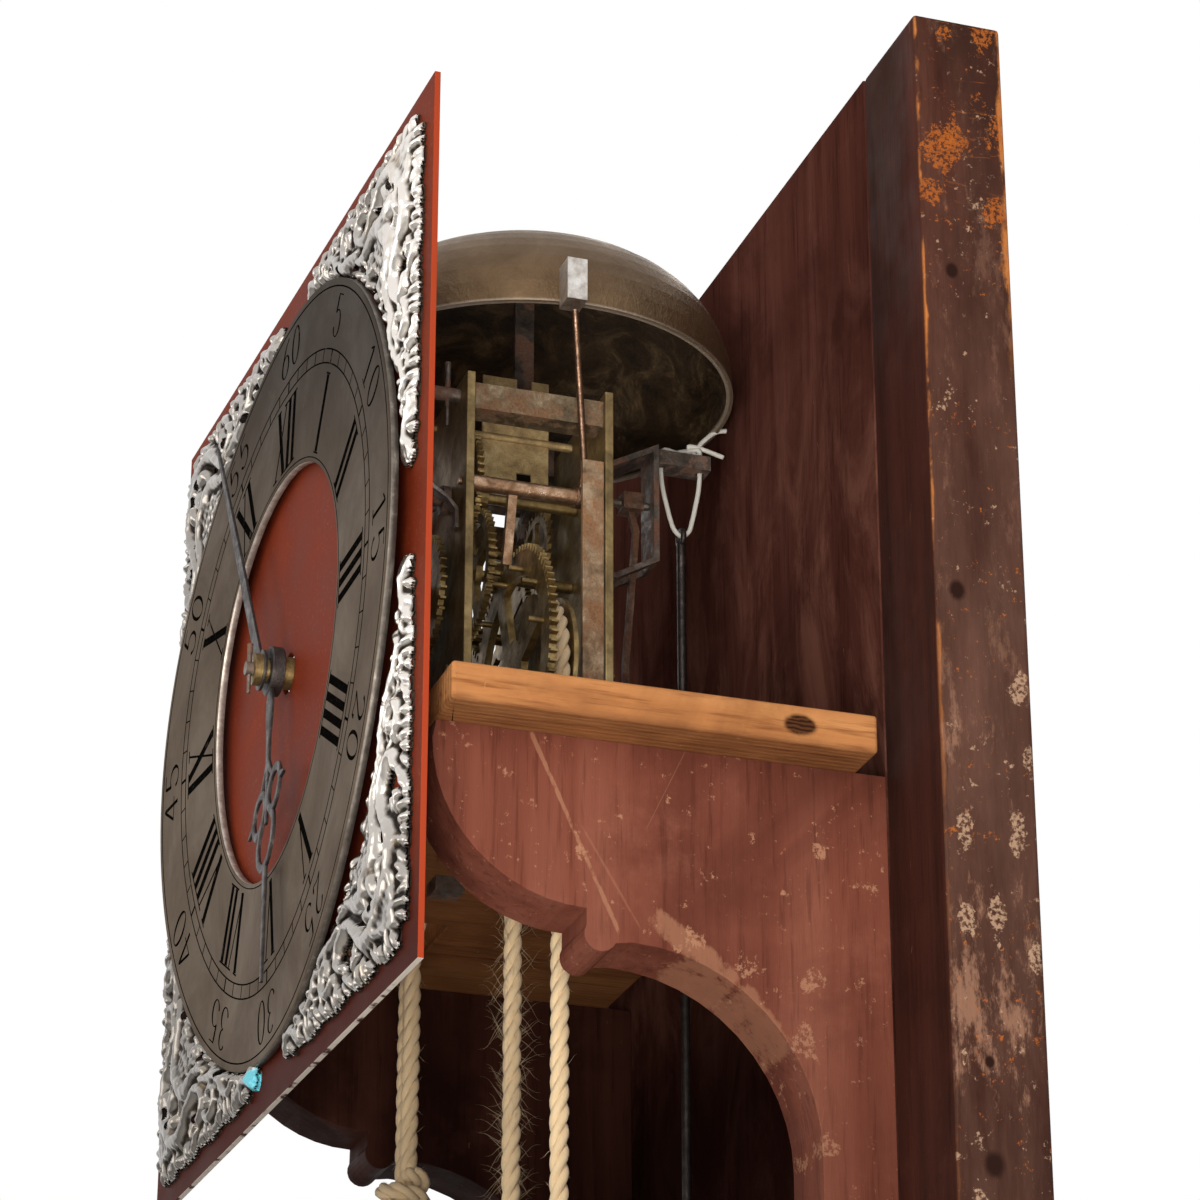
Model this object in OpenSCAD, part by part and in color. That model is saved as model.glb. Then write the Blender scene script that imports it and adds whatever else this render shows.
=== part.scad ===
// Longcase clock with its hood lifted off: a rope-driven striking movement on its seatboard, in a full case.
// Millimetres. Most shapes are drawn in the dial frame: X right as seen from the front, Y to the back, Z up,
// from the centre of the dial's front face. The finished clock stands on Z = 0, centred on the origin.

/* [Case] */
// Height of the dial centre above the floor
dial_height = 1750; // [1700:5:1850]
// Width of the trunk over its sides
trunk_width = 268; // [262:1:290]
// Thickness of each trunk side
side_thick = 24.5; // [20:0.5:26]
// Thickness of the backboard and its ears
back_thick = 31; // [22:1:36]
// Width of each ear of the backboard
ear_width = 43.5; // [38:0.5:50]
// Top of the backboard above the dial centre
back_rise = 187; // [175:1:220]
// Dial face to the front of the backboard
dial_to_back = 160; // [159:1:166]
// Dial face to the front edge of the trunk sides
cheek_front = 13.4; // [10:0.2:15]
// Trunk top below the dial centre
trunk_top_drop = 250; // [240:2:280]
// Height of the plinth without its moulding
plinth_height = 400; // [340:5:460]
// Thickness of the trunk's front frame
frame_thick = 20; // [16:1:24]
// Width of each stile beside the door
stile_width = 45; // [38:1:52]
// Height of the rail above the door
top_rail_height = 100; // [80:2:130]
// Height of the rail below the door
bottom_rail_height = 120; // [90:2:150]
// Thickness of the plinth boards
plinth_thick = 18; // [14:1:22]
// How far the plinth stands out from the trunk
plinth_step = 34; // [30:1:36]
// Height of the skirting
skirting_height = 90; // [60:2:120]
// Height of the moulding under the hood's seat
top_moulding_height = 42; // [34:1:52]
// Height of the moulding on the plinth
base_moulding_height = 40; // [34:1:50]

/* [Cheeks] */
// Radius of the rounded front of each cheek
ovolo_r = 49.3; // [44:0.1:50]
// Radius of the small bead at the end of the round
bead_r = 5.3; // [4:0.1:6]
// Radius of the arch behind the bead
arch_r = 60; // [54:1:62]
// Width of the strip left in front of the backboard
strip_width = 24; // [20:0.5:28]

/* [Seatboard] */
// Seatboard beyond each side of the dial
seat_margin = 1.5; // [0:0.5:6]
// Dial face to the seatboard's front edge
seat_front = 13; // [10:0.5:16]
// Gap between the seatboard and the backboard
seat_back_gap = 9.5; // [4:0.5:12]
// Thickness of the seatboard
seat_thick = 12.7; // [11:0.1:16]
// Top of the seatboard below the dial centre
seat_drop = 55; // [55:0.5:60]

/* [Door] */
// Thickness of the panel inside the frame
door_panel = 14; // [11:0.5:16]
// Thickness of the lip that overlaps the frame
door_lip = 6; // [4:0.5:8]
// How far the lip overlaps the frame
lip_overlap = 8; // [6:0.5:12]
// Gap round the panel
door_gap = 1.2; // [0.8:0.1:2]
// Width of the moulded border of the door
door_border = 16; // [12:1:22]
// Radius of the door hinge pins
hinge_pin_r = 1.5; // [1.2:0.1:1.8]
// Outer radius of the hinge knuckles
knuckle_r = 3; // [2.6:0.1:3.4]
// Height of each hinge
hinge_height = 60; // [48:1:80]
// Radius of the latch spindle
latch_r = 3; // [2.5:0.1:4]

/* [Movement frame] */
// Width of the brass plates
plate_width = 120; // [120:0.5:124]
// Top of the plates above the dial centre
plate_rise = 93; // [92:0.5:100]
// Thickness of the plates
plate_thick = 3; // [2.5:0.1:3.5]
// Dial face to the front plate
plate_front = 43.5; // [42:0.5:46]
// Clear distance between the plates
plate_gap = 46; // [45.6:0.1:47]
// Side of the square iron pillars
pillar_side = 9.5; // [8:0.1:10]
// Distance from the pillars to the plate's edge
pillar_inset = 2.1; // [1.8:0.1:2.4]
// Radius of the arbor pivots
pivot_r = 1.2; // [1:0.05:1.4]
// Clearance of a pivot in its hole
pivot_gap = 0.05; // [0.02:0.01:0.08]
// Radius of the arbors
arbor_r = 2; // [1.7:0.1:2.2]

/* [Dial] */
// Width and height of the dial plate
dial_size = 300; // [290:1:306]
// Thickness of the dial plate
dial_thick = 2; // [1.5:0.1:3]
// Angle at which the dial stands out of line with the plates
dial_skew = 1.67; // [0:0.01:2]
// Edge of the dial plate to the chapter ring
ring_edge = 15.5; // [14:0.5:20]
// Width of the chapter ring
ring_width = 62.5; // [58:0.5:66]
// Thickness of the chapter ring
ring_thick = 2.6; // [2:0.1:2.7]
// Height of the feet that hold the ring off the plate
ring_stand = 3.2; // [3:0.1:3.6]
// Thickness of the corner castings
spandrel_thick = 6; // [4:0.1:6.4]
// Radius of the dial feet
foot_r = 2.4; // [2:0.1:3]
// Length of the minute hand
minute_length = 124; // [118:1:128]
// Degrees by which each hand leans out from the dial
hand_lean = 2.3; // [2:0.1:2.6]
// Length of the hour hand
hour_length = 120; // [100:1:122]
// Thickness of the hands
hand_thick = 1; // [0.8:0.1:1.1]

/* [Trains] */
// Module of the great wheels
great_module = 1.04; // [1.02:0.005:1.045]
// Teeth of the great wheels
great_teeth = 84; // [84]
// Thickness of the great wheels
great_thick = 2.5; // [2:0.1:2.8]
// Thickness of the lighter wheels
wheel_thick = 2; // [1.6:0.1:2.2]
// Radius at which the rope runs round its pulley
rope_run_r = 25; // [23:0.5:26]
// Diameter of the ropes
rope_d = 6.2; // [5.4:0.1:6.6]
// Height of the great arbors below the dial centre
great_drop = 9.5; // [8:0.1:9.5]
// Distance from the dial centre line to each great arbor
great_x = 43; // [42.5:0.1:43.5]
// Half height of the fly
fly_half = 23.5; // [20:0.5:23.5]
// Radius of the escape wheel
escape_r = 19; // [17:0.5:19.5]

/* [Bell] */
// Outer radius of the bell
bell_r = 74.6; // [72:0.1:75]
// Height of the bell
bell_height = 50; // [44:1:56]
// Rim of the bell above the dial centre
bell_rise = 117; // [115:0.5:124]
// Thickness of the bell
bell_thick = 2.4; // [2:0.1:3]

/* [Pendulum and weights] */
// Suspension to the middle of the bob
pendulum_length = 994; // [960:2:1010]
// Radius of the bob
bob_r = 45; // [38:1:46]
// Thickness of the bob
bob_thick = 19; // [14:1:20]
// Radius of the pendulum rod
rod_r = 1.6; // [1.2:0.1:1.8]
// Radius of each weight
weight_r = 30; // [24:1:31]
// Height of each weight
weight_height = 190; // [150:5:220]
// Tops of the weights below the dial centre when wound
weight_drop = 430; // [400:5:480]

/* [Hidden] */
$fn = 48;
touch = 0.01;
slip = 0.3;

trunk_half = trunk_width / 2;
side_inner = trunk_half - side_thick;
back_y = dial_to_back;
back_end = back_y + back_thick;
frame_front = cheek_front - frame_thick;
plinth_half = trunk_half + plinth_step;
plinth_front = frame_front - plinth_step;
case_half = trunk_half + ear_width;
skirting_thick = ear_width - plinth_step;
case_front = plinth_front - skirting_thick;
dial_y = -(case_front + back_end) / 2;
floor_z = -dial_height;
trunk_top = -trunk_top_drop;
plinth_top = floor_z + plinth_height;
trunk_foot = plinth_top - 20;

seat_top = -seat_drop;
seat_under = seat_top - seat_thick;
seat_back = back_y - seat_back_gap;

plate_half = plate_width / 2;
front_in = plate_front + plate_thick;
back_in = front_in + plate_gap;
back_out = back_in + plate_thick;
pillar_out = plate_half - pillar_inset;
pillar_x = pillar_out - pillar_side / 2;
pillar_top_z = 85.2;
pillar_low_z = seat_top + 9;
bolt_r = 2.2;
bolt_ys = [front_in + 10, back_in - 10];
bolt_reach = pillar_low_z + 1;

// Y stations of the wheels, from the inside of the front plate
warning_y = front_in + 4.5;
hoop_y = front_in + 9.9;
pin_length = 5;
strike_y = front_in + 18.3;
strike_rope_y = front_in + 28;
going_rope_y = front_in + 16.5;
going_y = front_in + 23;
second_y = front_in + 35.5;
escape_y = front_in + 40.8;
tail_y = strike_y - pin_length + 0.4;
rear_y = back_out + 2;
motion_y = plate_front - 4.4;
hour_y = plate_front - 14;

// Teeth: wheel and pinion counts with the module that each pair shares
hoop_pinion = 9;
hoop_teeth = 50;
warning_pinion = 12;
warning_teeth = 48;
fly_pinion = 14;
second_pinion = 7;
second_teeth = 90;
escape_pinion = 6;
escape_teeth = 30;
drive_teeth = 60;
cannon_teeth = 20;
minute_teeth = 40;
minute_pinion = 10;
hour_teeth = 60;
count_pinion = 12;
count_teeth = 78;
hoop_module = 0.887;
warning_module = 0.8806;
second_module = 0.64;
count_module = 1.1;
add_w = 0.9;
add_p = 0.8;
ded = 1.25;

function mesh(a, b, m) = m * (a + b) / 2;
function polar(p, r, a) = [p[0] + r * cos(a), p[1] + r * sin(a)];
function angle_to(p, q) = atan2(q[1] - p[1], q[0] - p[0]);
function arc(c, r, a0, a1, n) = [for (i = [0:n]) polar(c, r, a0 + (a1 - a0) * i / n)];

strike_at = [great_x, -great_drop];
going_at = [-great_x, -great_drop];
hoop_angle = 113.6;
warning_angle = 79.5;
fly_angle = 102;
hoop_at = polar(strike_at, mesh(great_teeth, hoop_pinion, great_module), hoop_angle);
warning_at = polar(hoop_at, mesh(hoop_teeth, warning_pinion, hoop_module), warning_angle);
fly_at = polar(warning_at, mesh(warning_teeth, fly_pinion, warning_module), fly_angle);
pallet_at = [-3, 83.6];
escape_at = [pallet_at[0], pallet_at[1] - escape_r * 1.416];
second_reach = mesh(great_teeth, second_pinion, great_module);
escape_reach = mesh(second_teeth, escape_pinion, second_module);
span = norm(escape_at - going_at);
second_swing = acos((second_reach ^ 2 + span ^ 2 - escape_reach ^ 2) / (2 * second_reach * span));
second_angle = angle_to(going_at, escape_at) + second_swing;
second_at = polar(going_at, second_reach, second_angle);
drive_module = 2 * norm(going_at) / (drive_teeth + cannon_teeth);
minute_angle = 40;
minute_at = polar([0, 0], mesh(cannon_teeth, minute_teeth, drive_module), minute_angle);
hour_module = 2 * norm(minute_at) / (minute_pinion + hour_teeth);
hammer_at = [54, 54.2];
detent_at = [-24, 84.8];
lift_at = [40, 53];
count_at = [strike_at[0] - mesh(count_teeth, count_pinion, count_module), strike_at[1]];
hammer_arbor_r = 2.8;
ring_outer = dial_size / 2 - ring_edge;
ring_inner = ring_outer - ring_width;
spandrel_size = dial_size * 0.44;
seat_width = dial_size + 2 * seat_margin;
pallet_arbor_r = 1.5;
bell_y = front_in + 35.5;
cord_y = back_y - 17.7;
cord_reach = 7.3;
cord_r = 0.9;
cord_low = 74;
tongue_low = 99.4;
tongue_high = 105;
post_y = cord_y - 12.6;
bob_z = tongue_low - pendulum_length;
weight_top = -weight_drop;
rope_r = rope_d / 2;
groove_r = rope_run_r - rope_r - slip;
flange_r = rope_run_r + rope_r;

wood = "#6b2f26";
bare_wood = "#a8713f";
brass = "#9c8547";
iron = "#6f625a";
lead = "#b9b6ae";
pewter = "#6a665e";
rope_tan = "#cdb58a";

module in_clock() translate([0, dial_y, dial_height]) children();

// Draws a flat shape in the XZ plane, from y on for t
module plate_xz(y, t) translate([0, y + t, 0]) rotate([90, 0, 0]) linear_extrude(t) children();

// Draws a flat shape in the YZ plane, from x on for t
module plate_yz(x, t) translate([x, 0, 0]) rotate([90, 0, 90]) linear_extrude(t) children();

// Draws a flat shape in the XY plane, from z on for t
module plate_xy(z, t) translate([0, 0, z]) linear_extrude(t) children();

module block(a, b) translate(a) cube(b - a);

// A round bar along Y
module bar_y(p, y0, y1, r) plate_xz(y0, y1 - y0) translate(p) circle(r);

// A round bar between two points
module rod(a, b, r) {
    d = b - a;
    translate(a) rotate([0, acos(d[2] / norm(d)), atan2(d[1], d[0])]) cylinder(r = r, h = norm(d));
}

function unit(v) = v / norm(v);
function left(v) = [-v[1], v[0]];

// One edge of a band along a chain of points, mitred at the bends
function band_side(pts, d) = [for (i = [0:len(pts) - 1])
    let (i0 = max(i, 1), i1 = min(i, len(pts) - 2), a = left(unit(pts[i0] - pts[i0 - 1])),
        b = left(unit(pts[i1 + 1] - pts[i1])), m = unit(a + b)) pts[i] + m * d / (m * a)];

module strap2d(pts, t) {
    n = len(pts);
    back = band_side(pts, -t / 2);
    polygon(concat(band_side(pts, t / 2), [for (i = [n - 1:-1:0]) back[i]]));
}

// A toothed outline with one tooth at the given angle
module teeth2d(n, m, add, root_w, tip_w, at) {
    rp = n * m / 2;
    pitch = 360 / n;
    polygon([for (i = [0:n - 1]) for (k = [[-root_w, -ded], [-tip_w, add], [tip_w, add], [root_w, -ded]])
        polar([0, 0], rp + k[1] * m, at + (i + k[0]) * pitch)]);
}

module wheel2d(n, m, at, hub, rim, arms, arm_w) {
    inner = n * m / 2 - ded * m - rim;
    difference() {
        teeth2d(n, m, add_w, 0.24, 0.1, at);
        difference() {
            circle(inner);
            circle(hub);
            for (i = [0:arms - 1]) rotate(i * 360 / arms + 20) translate([0, -arm_w / 2]) square([inner + 1, arm_w]);
        }
        circle(pivot_r);
    }
}

module wheel(p, y, t, n, m, at, hub, rim, arms, arm_w)
    plate_xz(y, t) translate(p) wheel2d(n, m, at, hub, rim, arms, arm_w);

// A pinion whose gap faces back along the line of centres
module pinion(p, y, t, n, m, from) plate_xz(y, t) translate(p) teeth2d(n, m, add_p, 0.2, 0.12, from + 180 + 180 / n);

// An arbor between the plates, with a pivot in each
module arbor(p, r) {
    bar_y(p, front_in + slip, back_in - slip, r);
    bar_y(p, plate_front - 1, back_out + 1, pivot_r);
}

module backboard() color(wood) in_clock()
    plate_xz(back_y, back_thick) polygon([
        [-plinth_half + plinth_thick, floor_z], [plinth_half - plinth_thick, floor_z],
        [plinth_half - plinth_thick, plinth_top], [trunk_half, plinth_top], [trunk_half, back_rise],
        [-trunk_half, back_rise], [-trunk_half, plinth_top], [-plinth_half + plinth_thick, plinth_top]]);

module backboard_ears() color(wood) in_clock()
    for (s = [-1, 1]) block([s < 0 ? -case_half : trunk_half, back_y, trunk_top - top_moulding_height],
        [s < 0 ? -trunk_half : case_half, back_end, back_rise]);

// Side outline: rounded bracket under the seatboard, bead, arch, then the full trunk below
module cheek2d() {
    ovolo_c = [cheek_front - 1.2 + ovolo_r, seat_under - 5.6];
    bead_c = [ovolo_c[0] + 4.5, ovolo_c[1] - ovolo_r - 7.9];
    strip_front = back_y - strip_width;
    arch_c = [strip_front - arch_r, bead_c[1] - 1.5 - arch_r];
    corner_r = 18;
    polygon(concat(
        [[cheek_front, seat_under]],
        arc(ovolo_c, ovolo_r, 180, 270, 12),
        arc(bead_c, bead_r, 150, 335, 10),
        arc(arch_c, arch_r, 90, 0, 12),
        arc([strip_front - corner_r, trunk_top + corner_r], corner_r, 0, -90, 6),
        [[cheek_front, trunk_top], [cheek_front, trunk_foot], [back_y, trunk_foot], [back_y, seat_under]]));
}

module trunk_side_left() color(wood) in_clock() plate_yz(-trunk_half, side_thick) cheek2d();

module trunk_side_right() color(wood) in_clock() plate_yz(side_inner, side_thick) cheek2d();

going_slot = [-great_x - rope_run_r - 6, -great_x];
strike_slot = [great_x - rope_run_r - 6, great_x + rope_run_r + 6];
notch_half = 22;
notch_front = back_out + 18;

module seatboard() color(bare_wood) in_clock() difference() {
    block([-seat_width / 2, seat_front, seat_under], [seat_width / 2, seat_back, seat_top]);
    block([going_slot[0], going_rope_y - 7, seat_under - 1], [going_slot[1], going_rope_y + 7, seat_top + 1]);
    block([strike_slot[0], strike_rope_y - 7, seat_under - 1], [strike_slot[1], strike_rope_y + 7, seat_top + 1]);
    block([pallet_at[0] - notch_half, notch_front, seat_under - 1],
        [pallet_at[0] + notch_half, seat_back + 1, seat_top + 1]);
    for (y = bolt_ys) translate([0, y, seat_under - 1]) cylinder(r = bolt_r + pivot_gap, h = seat_thick + 2);
}

door_top = trunk_top - top_rail_height;
door_foot = plinth_top + bottom_rail_height;
door_half = trunk_half - stile_width;

module trunk_front_frame() color(wood) in_clock() {
    for (x = [-trunk_half, door_half])
        block([x, frame_front, trunk_foot], [x + stile_width, cheek_front, trunk_top]);
    block([-door_half, frame_front, door_top], [door_half, cheek_front, trunk_top]);
    block([-door_half, frame_front, trunk_foot], [door_half, cheek_front, door_foot]);
}

lip_front = frame_front - door_lip;
panel_x = door_half - door_gap;
lip_x = door_half + lip_overlap;
latch_x = -door_half + 14;
latch_z = (door_top + door_foot) / 2;
knob_r = 8;

// The door's field is sunk between its moulded borders
module trunk_door() color(wood) in_clock() difference() {
    union() {
        block([-panel_x, frame_front, door_foot + door_gap], [panel_x, frame_front + door_panel, door_top - door_gap]);
        block([-lip_x, lip_front, door_foot - lip_overlap], [lip_x, frame_front, door_top + lip_overlap]);
    }
    block([-lip_x + door_border + 14, lip_front - 1, door_foot - lip_overlap + door_border + 14],
        [lip_x - door_border - 14, lip_front + 2, door_top + lip_overlap - door_border - 14]);
    bar_y([latch_x, latch_z], lip_front - 1, frame_front + door_panel + 1, latch_r + pivot_gap);
}

door_leaf_width = 22;
hinge_axis = [lip_x + knuckle_r + 1, lip_front - knuckle_r + 2.4];
hinge_leaf = 2.2;
hinge_zs = [door_foot + 90, door_top - 90];

// Three knuckles a hinge: the frame holds the outer two and the pin, the door the middle one
module door_hinge_leaves() color(iron) in_clock() for (z = hinge_zs) {
    third = hinge_height / 3;
    for (k = [-1, 1]) translate([hinge_axis[0], hinge_axis[1], z + k * third - third / 2])
        cylinder(r = knuckle_r, h = third);
    translate([hinge_axis[0], hinge_axis[1], z - hinge_height / 2]) cylinder(r = hinge_pin_r, h = hinge_height);
    for (k = [-1, 1]) block([hinge_axis[0], hinge_axis[1], z + k * third - third / 2],
        [hinge_axis[0] + knuckle_r, frame_front, z + k * third + third / 2]);
    block([hinge_axis[0] + knuckle_r - 1, frame_front - hinge_leaf, z - hinge_height / 2],
        [trunk_half - 6, frame_front, z + hinge_height / 2]);
}

module door_hinge_knuckles() color(iron) in_clock() for (z = hinge_zs) {
    half = hinge_height / 6 - slip;
    difference() {
        union() {
            translate([hinge_axis[0], hinge_axis[1], z - half]) cylinder(r = knuckle_r, h = 2 * half);
            block([hinge_axis[0] - knuckle_r - door_leaf_width, lip_front - hinge_leaf, z - half],
                [hinge_axis[0], lip_front, z + half]);
        }
        translate([hinge_axis[0], hinge_axis[1], z - half - 1])
            cylinder(r = hinge_pin_r + pivot_gap, h = 2 * half + 2);
    }
}

module door_latch() color(brass) in_clock() {
    tongue_y = cheek_front + slip;
    bar_y([latch_x, latch_z], lip_front - 10, tongue_y + 3, latch_r);
    bar_y([latch_x, latch_z], lip_front - 16, lip_front - 8, knob_r);
    bar_y([latch_x, latch_z], lip_front - 2, lip_front - slip, knob_r - 2);
    plate_xz(tongue_y, 3) translate([latch_x - 5, latch_z - 24]) square([10, 30]);
}

// A moulding outline: [distance out from the face, height], with its hollow as an arc
function cove(out, h, r) = concat([[0, 0], [out - r, 0]], arc([out, 0], r, 180, 90, 8), [[out, h], [0, h]]);

function ogee_foot(out, h, r) = concat([[0, 0], [out, 0], [out, h - r]], arc([out, h], r, 270, 180, 8), [[0, h]]);

mitre_rise = 200;

module front_run(profile, half, front, z) difference() {
    out = max([for (p = profile) p[0]]);
    translate([-half - out, front, z]) rotate([90, 0, 90])
        linear_extrude(2 * (half + out)) mirror([1, 0]) polygon(profile);
    for (s = [-1, 1]) translate([s * half, front, z - 1]) rotate([0, 0, s < 0 ? -135 : -45])
        translate([0, s < 0 ? -4 * out : 0, 0]) cube([4 * out, 4 * out, mitre_rise]);
}

module side_run(profile, half, front, end, z) difference() {
    out = max([for (p = profile) p[0]]);
    translate([half, end, z]) rotate([90, 0, 0]) linear_extrude(end - front + out) polygon(profile);
    translate([half, front, z - 1]) rotate([0, 0, -45]) translate([-4 * out, -4 * out, 0]) cube([8 * out, 4 * out, 200]);
}

module three_sides(profile, half, front, end, z) {
    front_run(profile, half, front, z);
    side_run(profile, half, front, end, z);
    mirror([1, 0, 0]) side_run(profile, half, front, end, z);
}

module trunk_top_moulding() color(wood) in_clock()
    three_sides(cove(ear_width, top_moulding_height, 30), trunk_half, frame_front, back_y,
        trunk_top - top_moulding_height);

module trunk_base_moulding() color(wood) in_clock()
    three_sides(ogee_foot(plinth_step + 4, base_moulding_height, 26), trunk_half, frame_front, back_y, plinth_top);

module plinth_boards() color(wood) in_clock() {
    block([-plinth_half, plinth_front, floor_z], [plinth_half, plinth_front + plinth_thick, plinth_top]);
    for (x = [-plinth_half, plinth_half - plinth_thick])
        block([x, plinth_front + plinth_thick, floor_z], [x + plinth_thick, back_end, plinth_top]);
    block([-plinth_half + plinth_thick, plinth_front + plinth_thick, floor_z + 20],
        [plinth_half - plinth_thick, back_y, floor_z + 38]);
}

module plinth_skirting() color(wood) in_clock()
    three_sides([[0, 0], [skirting_thick, 0], [skirting_thick, skirting_height - 10], [0, skirting_height]],
        plinth_half, plinth_front, back_end, floor_z);

plain_pivots = [hoop_at, warning_at, fly_at, hammer_at, second_at, escape_at, detent_at];

module movement_plate(y, extra) color(brass) in_clock() difference() {
    block([-plate_half, y, seat_top], [plate_half, y + plate_thick, plate_rise]);
    for (p = plain_pivots) bar_y(p, y - 1, y + plate_thick + 1, pivot_r + pivot_gap);
    for (e = extra) bar_y(e[0], y - 1, y + plate_thick + 1, e[1]);
}

module front_plate() movement_plate(plate_front,
    [[strike_at, pivot_r + pivot_gap], [going_at, arbor_r + pivot_gap], [pallet_at, pivot_r + pivot_gap]]);

module back_plate() movement_plate(back_in,
    [[strike_at, arbor_r + pivot_gap], [going_at, pivot_r + pivot_gap], [pallet_at, pallet_arbor_r + 2]]);

// Two pillars in the upper corners and one low between the great wheels, which takes the seatboard's bolts
module pillars() color(iron) in_clock() difference() {
    for (p = [[-pillar_x, pillar_top_z], [pillar_x, pillar_top_z], [0, pillar_low_z]])
        block([p[0] - pillar_side / 2, front_in, p[1] - pillar_side / 2],
            [p[0] + pillar_side / 2, back_in, p[1] + pillar_side / 2]);
    for (y = bolt_ys) translate([0, y, seat_top]) cylinder(r = bolt_r + pivot_gap, h = bolt_reach - seat_top + touch);
}

// Square-headed bolts rise through the seatboard into the lower pillar
module seatboard_bolts() color(iron) in_clock() for (y = bolt_ys) {
    block([-5, y - 5, seat_under - 5], [5, y + 5, seat_under]);
    translate([0, y, seat_under - 1]) cylinder(r = bolt_r, h = bolt_reach - seat_under + 1);
}

module back_cock() color(iron) in_clock() difference() {
    x0 = pallet_at[0] - 7;
    union() {
        plate_yz(x0, 14) strap2d([[back_out + 1, 76], [back_out + 1, 86], [post_y + 1, tongue_high - 1],
            [post_y + 1, 60.4], [post_y - 14, 52], [back_out + 1, 52], [back_out + 1, 43]], 2);
        block([pallet_at[0] - 4.5, post_y, tongue_low], [pallet_at[0] + 4.5, cord_y + cord_reach + 2.7, tongue_high]);
    }
    bar_y(pallet_at, back_out - 1, back_out + 3, pallet_arbor_r + 2);
    bar_y(pallet_at, post_y - 1, post_y + 3, pivot_r + pivot_gap);
    for (s = [-1, 1]) translate([pallet_at[0], cord_y + s * cord_reach, tongue_low - 1]) cylinder(r = cord_r + 0.7, h = 8);
    block([pallet_at[0] - 4.2, crutch_y - 6, 47], [pallet_at[0] + 4.2, crutch_y + 6, 64]);
}

hammer_spring_top = 66;

module hammer_spring() color(iron) in_clock()
    block([pillar_out, back_in - 8.1, seat_top], [pillar_out + 2.4, back_in - 0.5, hammer_spring_top]);

module detent_spring() color(iron) in_clock() difference() {
    plate_yz(48, 4) strap2d([[plate_front - 0.6, 38], [plate_front - 0.6, 45], [plate_front - 4, 49],
        [plate_front - 9, 52], [plate_front - 13, 58]], 1.2);
    block([40, plate_front, 30], [60, plate_front + 5, 60]);
}

bell_top = bell_rise + bell_height;

function dome(r, h, n) = [for (i = [0:n]) [r * pow(cos(90 * i / n), 0.833), h * pow(sin(90 * i / n), 0.833)]];

module bell() color("#5f5444") in_clock() translate([0, bell_y, bell_rise]) rotate_extrude($fn = 96) {
    n = 14;
    hole = 2.6;
    outer = [for (p = dome(bell_r, bell_height, n)) [max(p[0], hole), p[1]]];
    inner = [for (p = dome(bell_r - bell_thick, bell_height - bell_thick, n)) [max(p[0], hole), p[1]]];
    polygon(concat(outer, [for (i = [n:-1:0]) inner[i]]));
}

module bell_stand() color(iron) in_clock() {
    foot_y = back_in - 1.25;
    shoulder = bell_top - bell_thick;
    block([-1.25, bell_y - 3.5, 110], [1.25, bell_y + 3.5, shoulder - 2]);
    plate_yz(-3.5, 7) strap2d([[bell_y, 112], [bell_y, 107], [foot_y, 96.5], [foot_y, 87]], 2.5);
    translate([0, bell_y, shoulder - 3.2]) cylinder(r = 6, h = 3);
    translate([0, bell_y, shoulder - 0.8]) cylinder(r = 2.5, h = 9.8);
}

module bell_nut() color(iron) in_clock() translate([0, bell_y, bell_top]) difference() {
    cylinder(r = 6.5, h = 4.5, $fn = 6);
    translate([0, 0, -1]) cylinder(r = 2.5, h = 7);
}

stud_r = 2.4;
cannon_bore = stud_r + pivot_gap;
cannon_r = 4;
hour_bore = cannon_r + pivot_gap;
hour_pipe_r = 5.6;
hour_hand_y = -6.6;
boss_front = -7.5;
boss_back = -3;
boss_r = 8.5;
minute_hand_y = -10;

module motion_studs() color(iron) in_clock() {
    difference() {
        bar_y([0, 0], minute_hand_y - 5, plate_front, stud_r);
        translate([0, minute_hand_y - 3.6, -9]) cylinder(r1 = 0.6, r2 = 1, h = 18);
    }
    bar_y(minute_at, hour_y - 3.4, plate_front, stud_r);
    bar_y(lift_at, plate_front - 6, plate_front, stud_r);
    bar_y(count_at, back_out, rear_y + 6, stud_r);
}

module skewed() rotate([0, 0, dial_skew]) children();

module dial_plate() color("#8e2a1f") in_clock() skewed() difference() {
    block([-dial_size / 2, 0, -dial_size / 2], [dial_size / 2, dial_thick, dial_size / 2]);
    bar_y([0, 0], -1, dial_thick + 1, hour_pipe_r + 1.5);
}

module chapter_ring() color(pewter) in_clock() skewed() {
    plate_xz(-ring_stand - ring_thick, ring_thick) difference() {
        circle(ring_outer, $fn = 96);
        circle(ring_inner, $fn = 96);
    }
    for (a = [45:90:315]) bar_y(polar([0, 0], (ring_outer + ring_inner) / 2, a), -ring_stand - 1, 0, 2.5);
}

// One corner casting: scrolls along both edges, growing towards the corner: [along, in, radius]
scrolls = [[0.96, 0.08, 0.06], [0.86, 0.12, 0.08], [0.74, 0.13, 0.1], [0.6, 0.16, 0.12], [0.46, 0.17, 0.13],
    [0.32, 0.2, 0.15], [0.2, 0.2, 0.2]];

spandrel_margin = 6;

module spandrels() color(lead) in_clock() skewed() {
    c = dial_size / 2 - spandrel_margin;
    for (a = [0:3]) rotate([0, a * 90, 0]) plate_xz(-spandrel_thick, spandrel_thick) difference() {
        translate([-c, -c]) spandrel2d();
        circle(ring_outer + slip, $fn = 96);
    }
}

module spandrel2d() {
    for (s = scrolls) for (p = [[s[0], s[1]], [s[1], s[0]]])
        translate(spandrel_size * p) circle(spandrel_size * min(s[2], s[1]), $fn = 24);
    translate(spandrel_size * [0.33, 0.33]) circle(spandrel_size * 0.19, $fn = 24);
}

foot_x = 50;
foot_z = 88;
foot_low_z = -46;
function dial_back(x) = dial_thick / cos(dial_skew) + x * tan(dial_skew);

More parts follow.
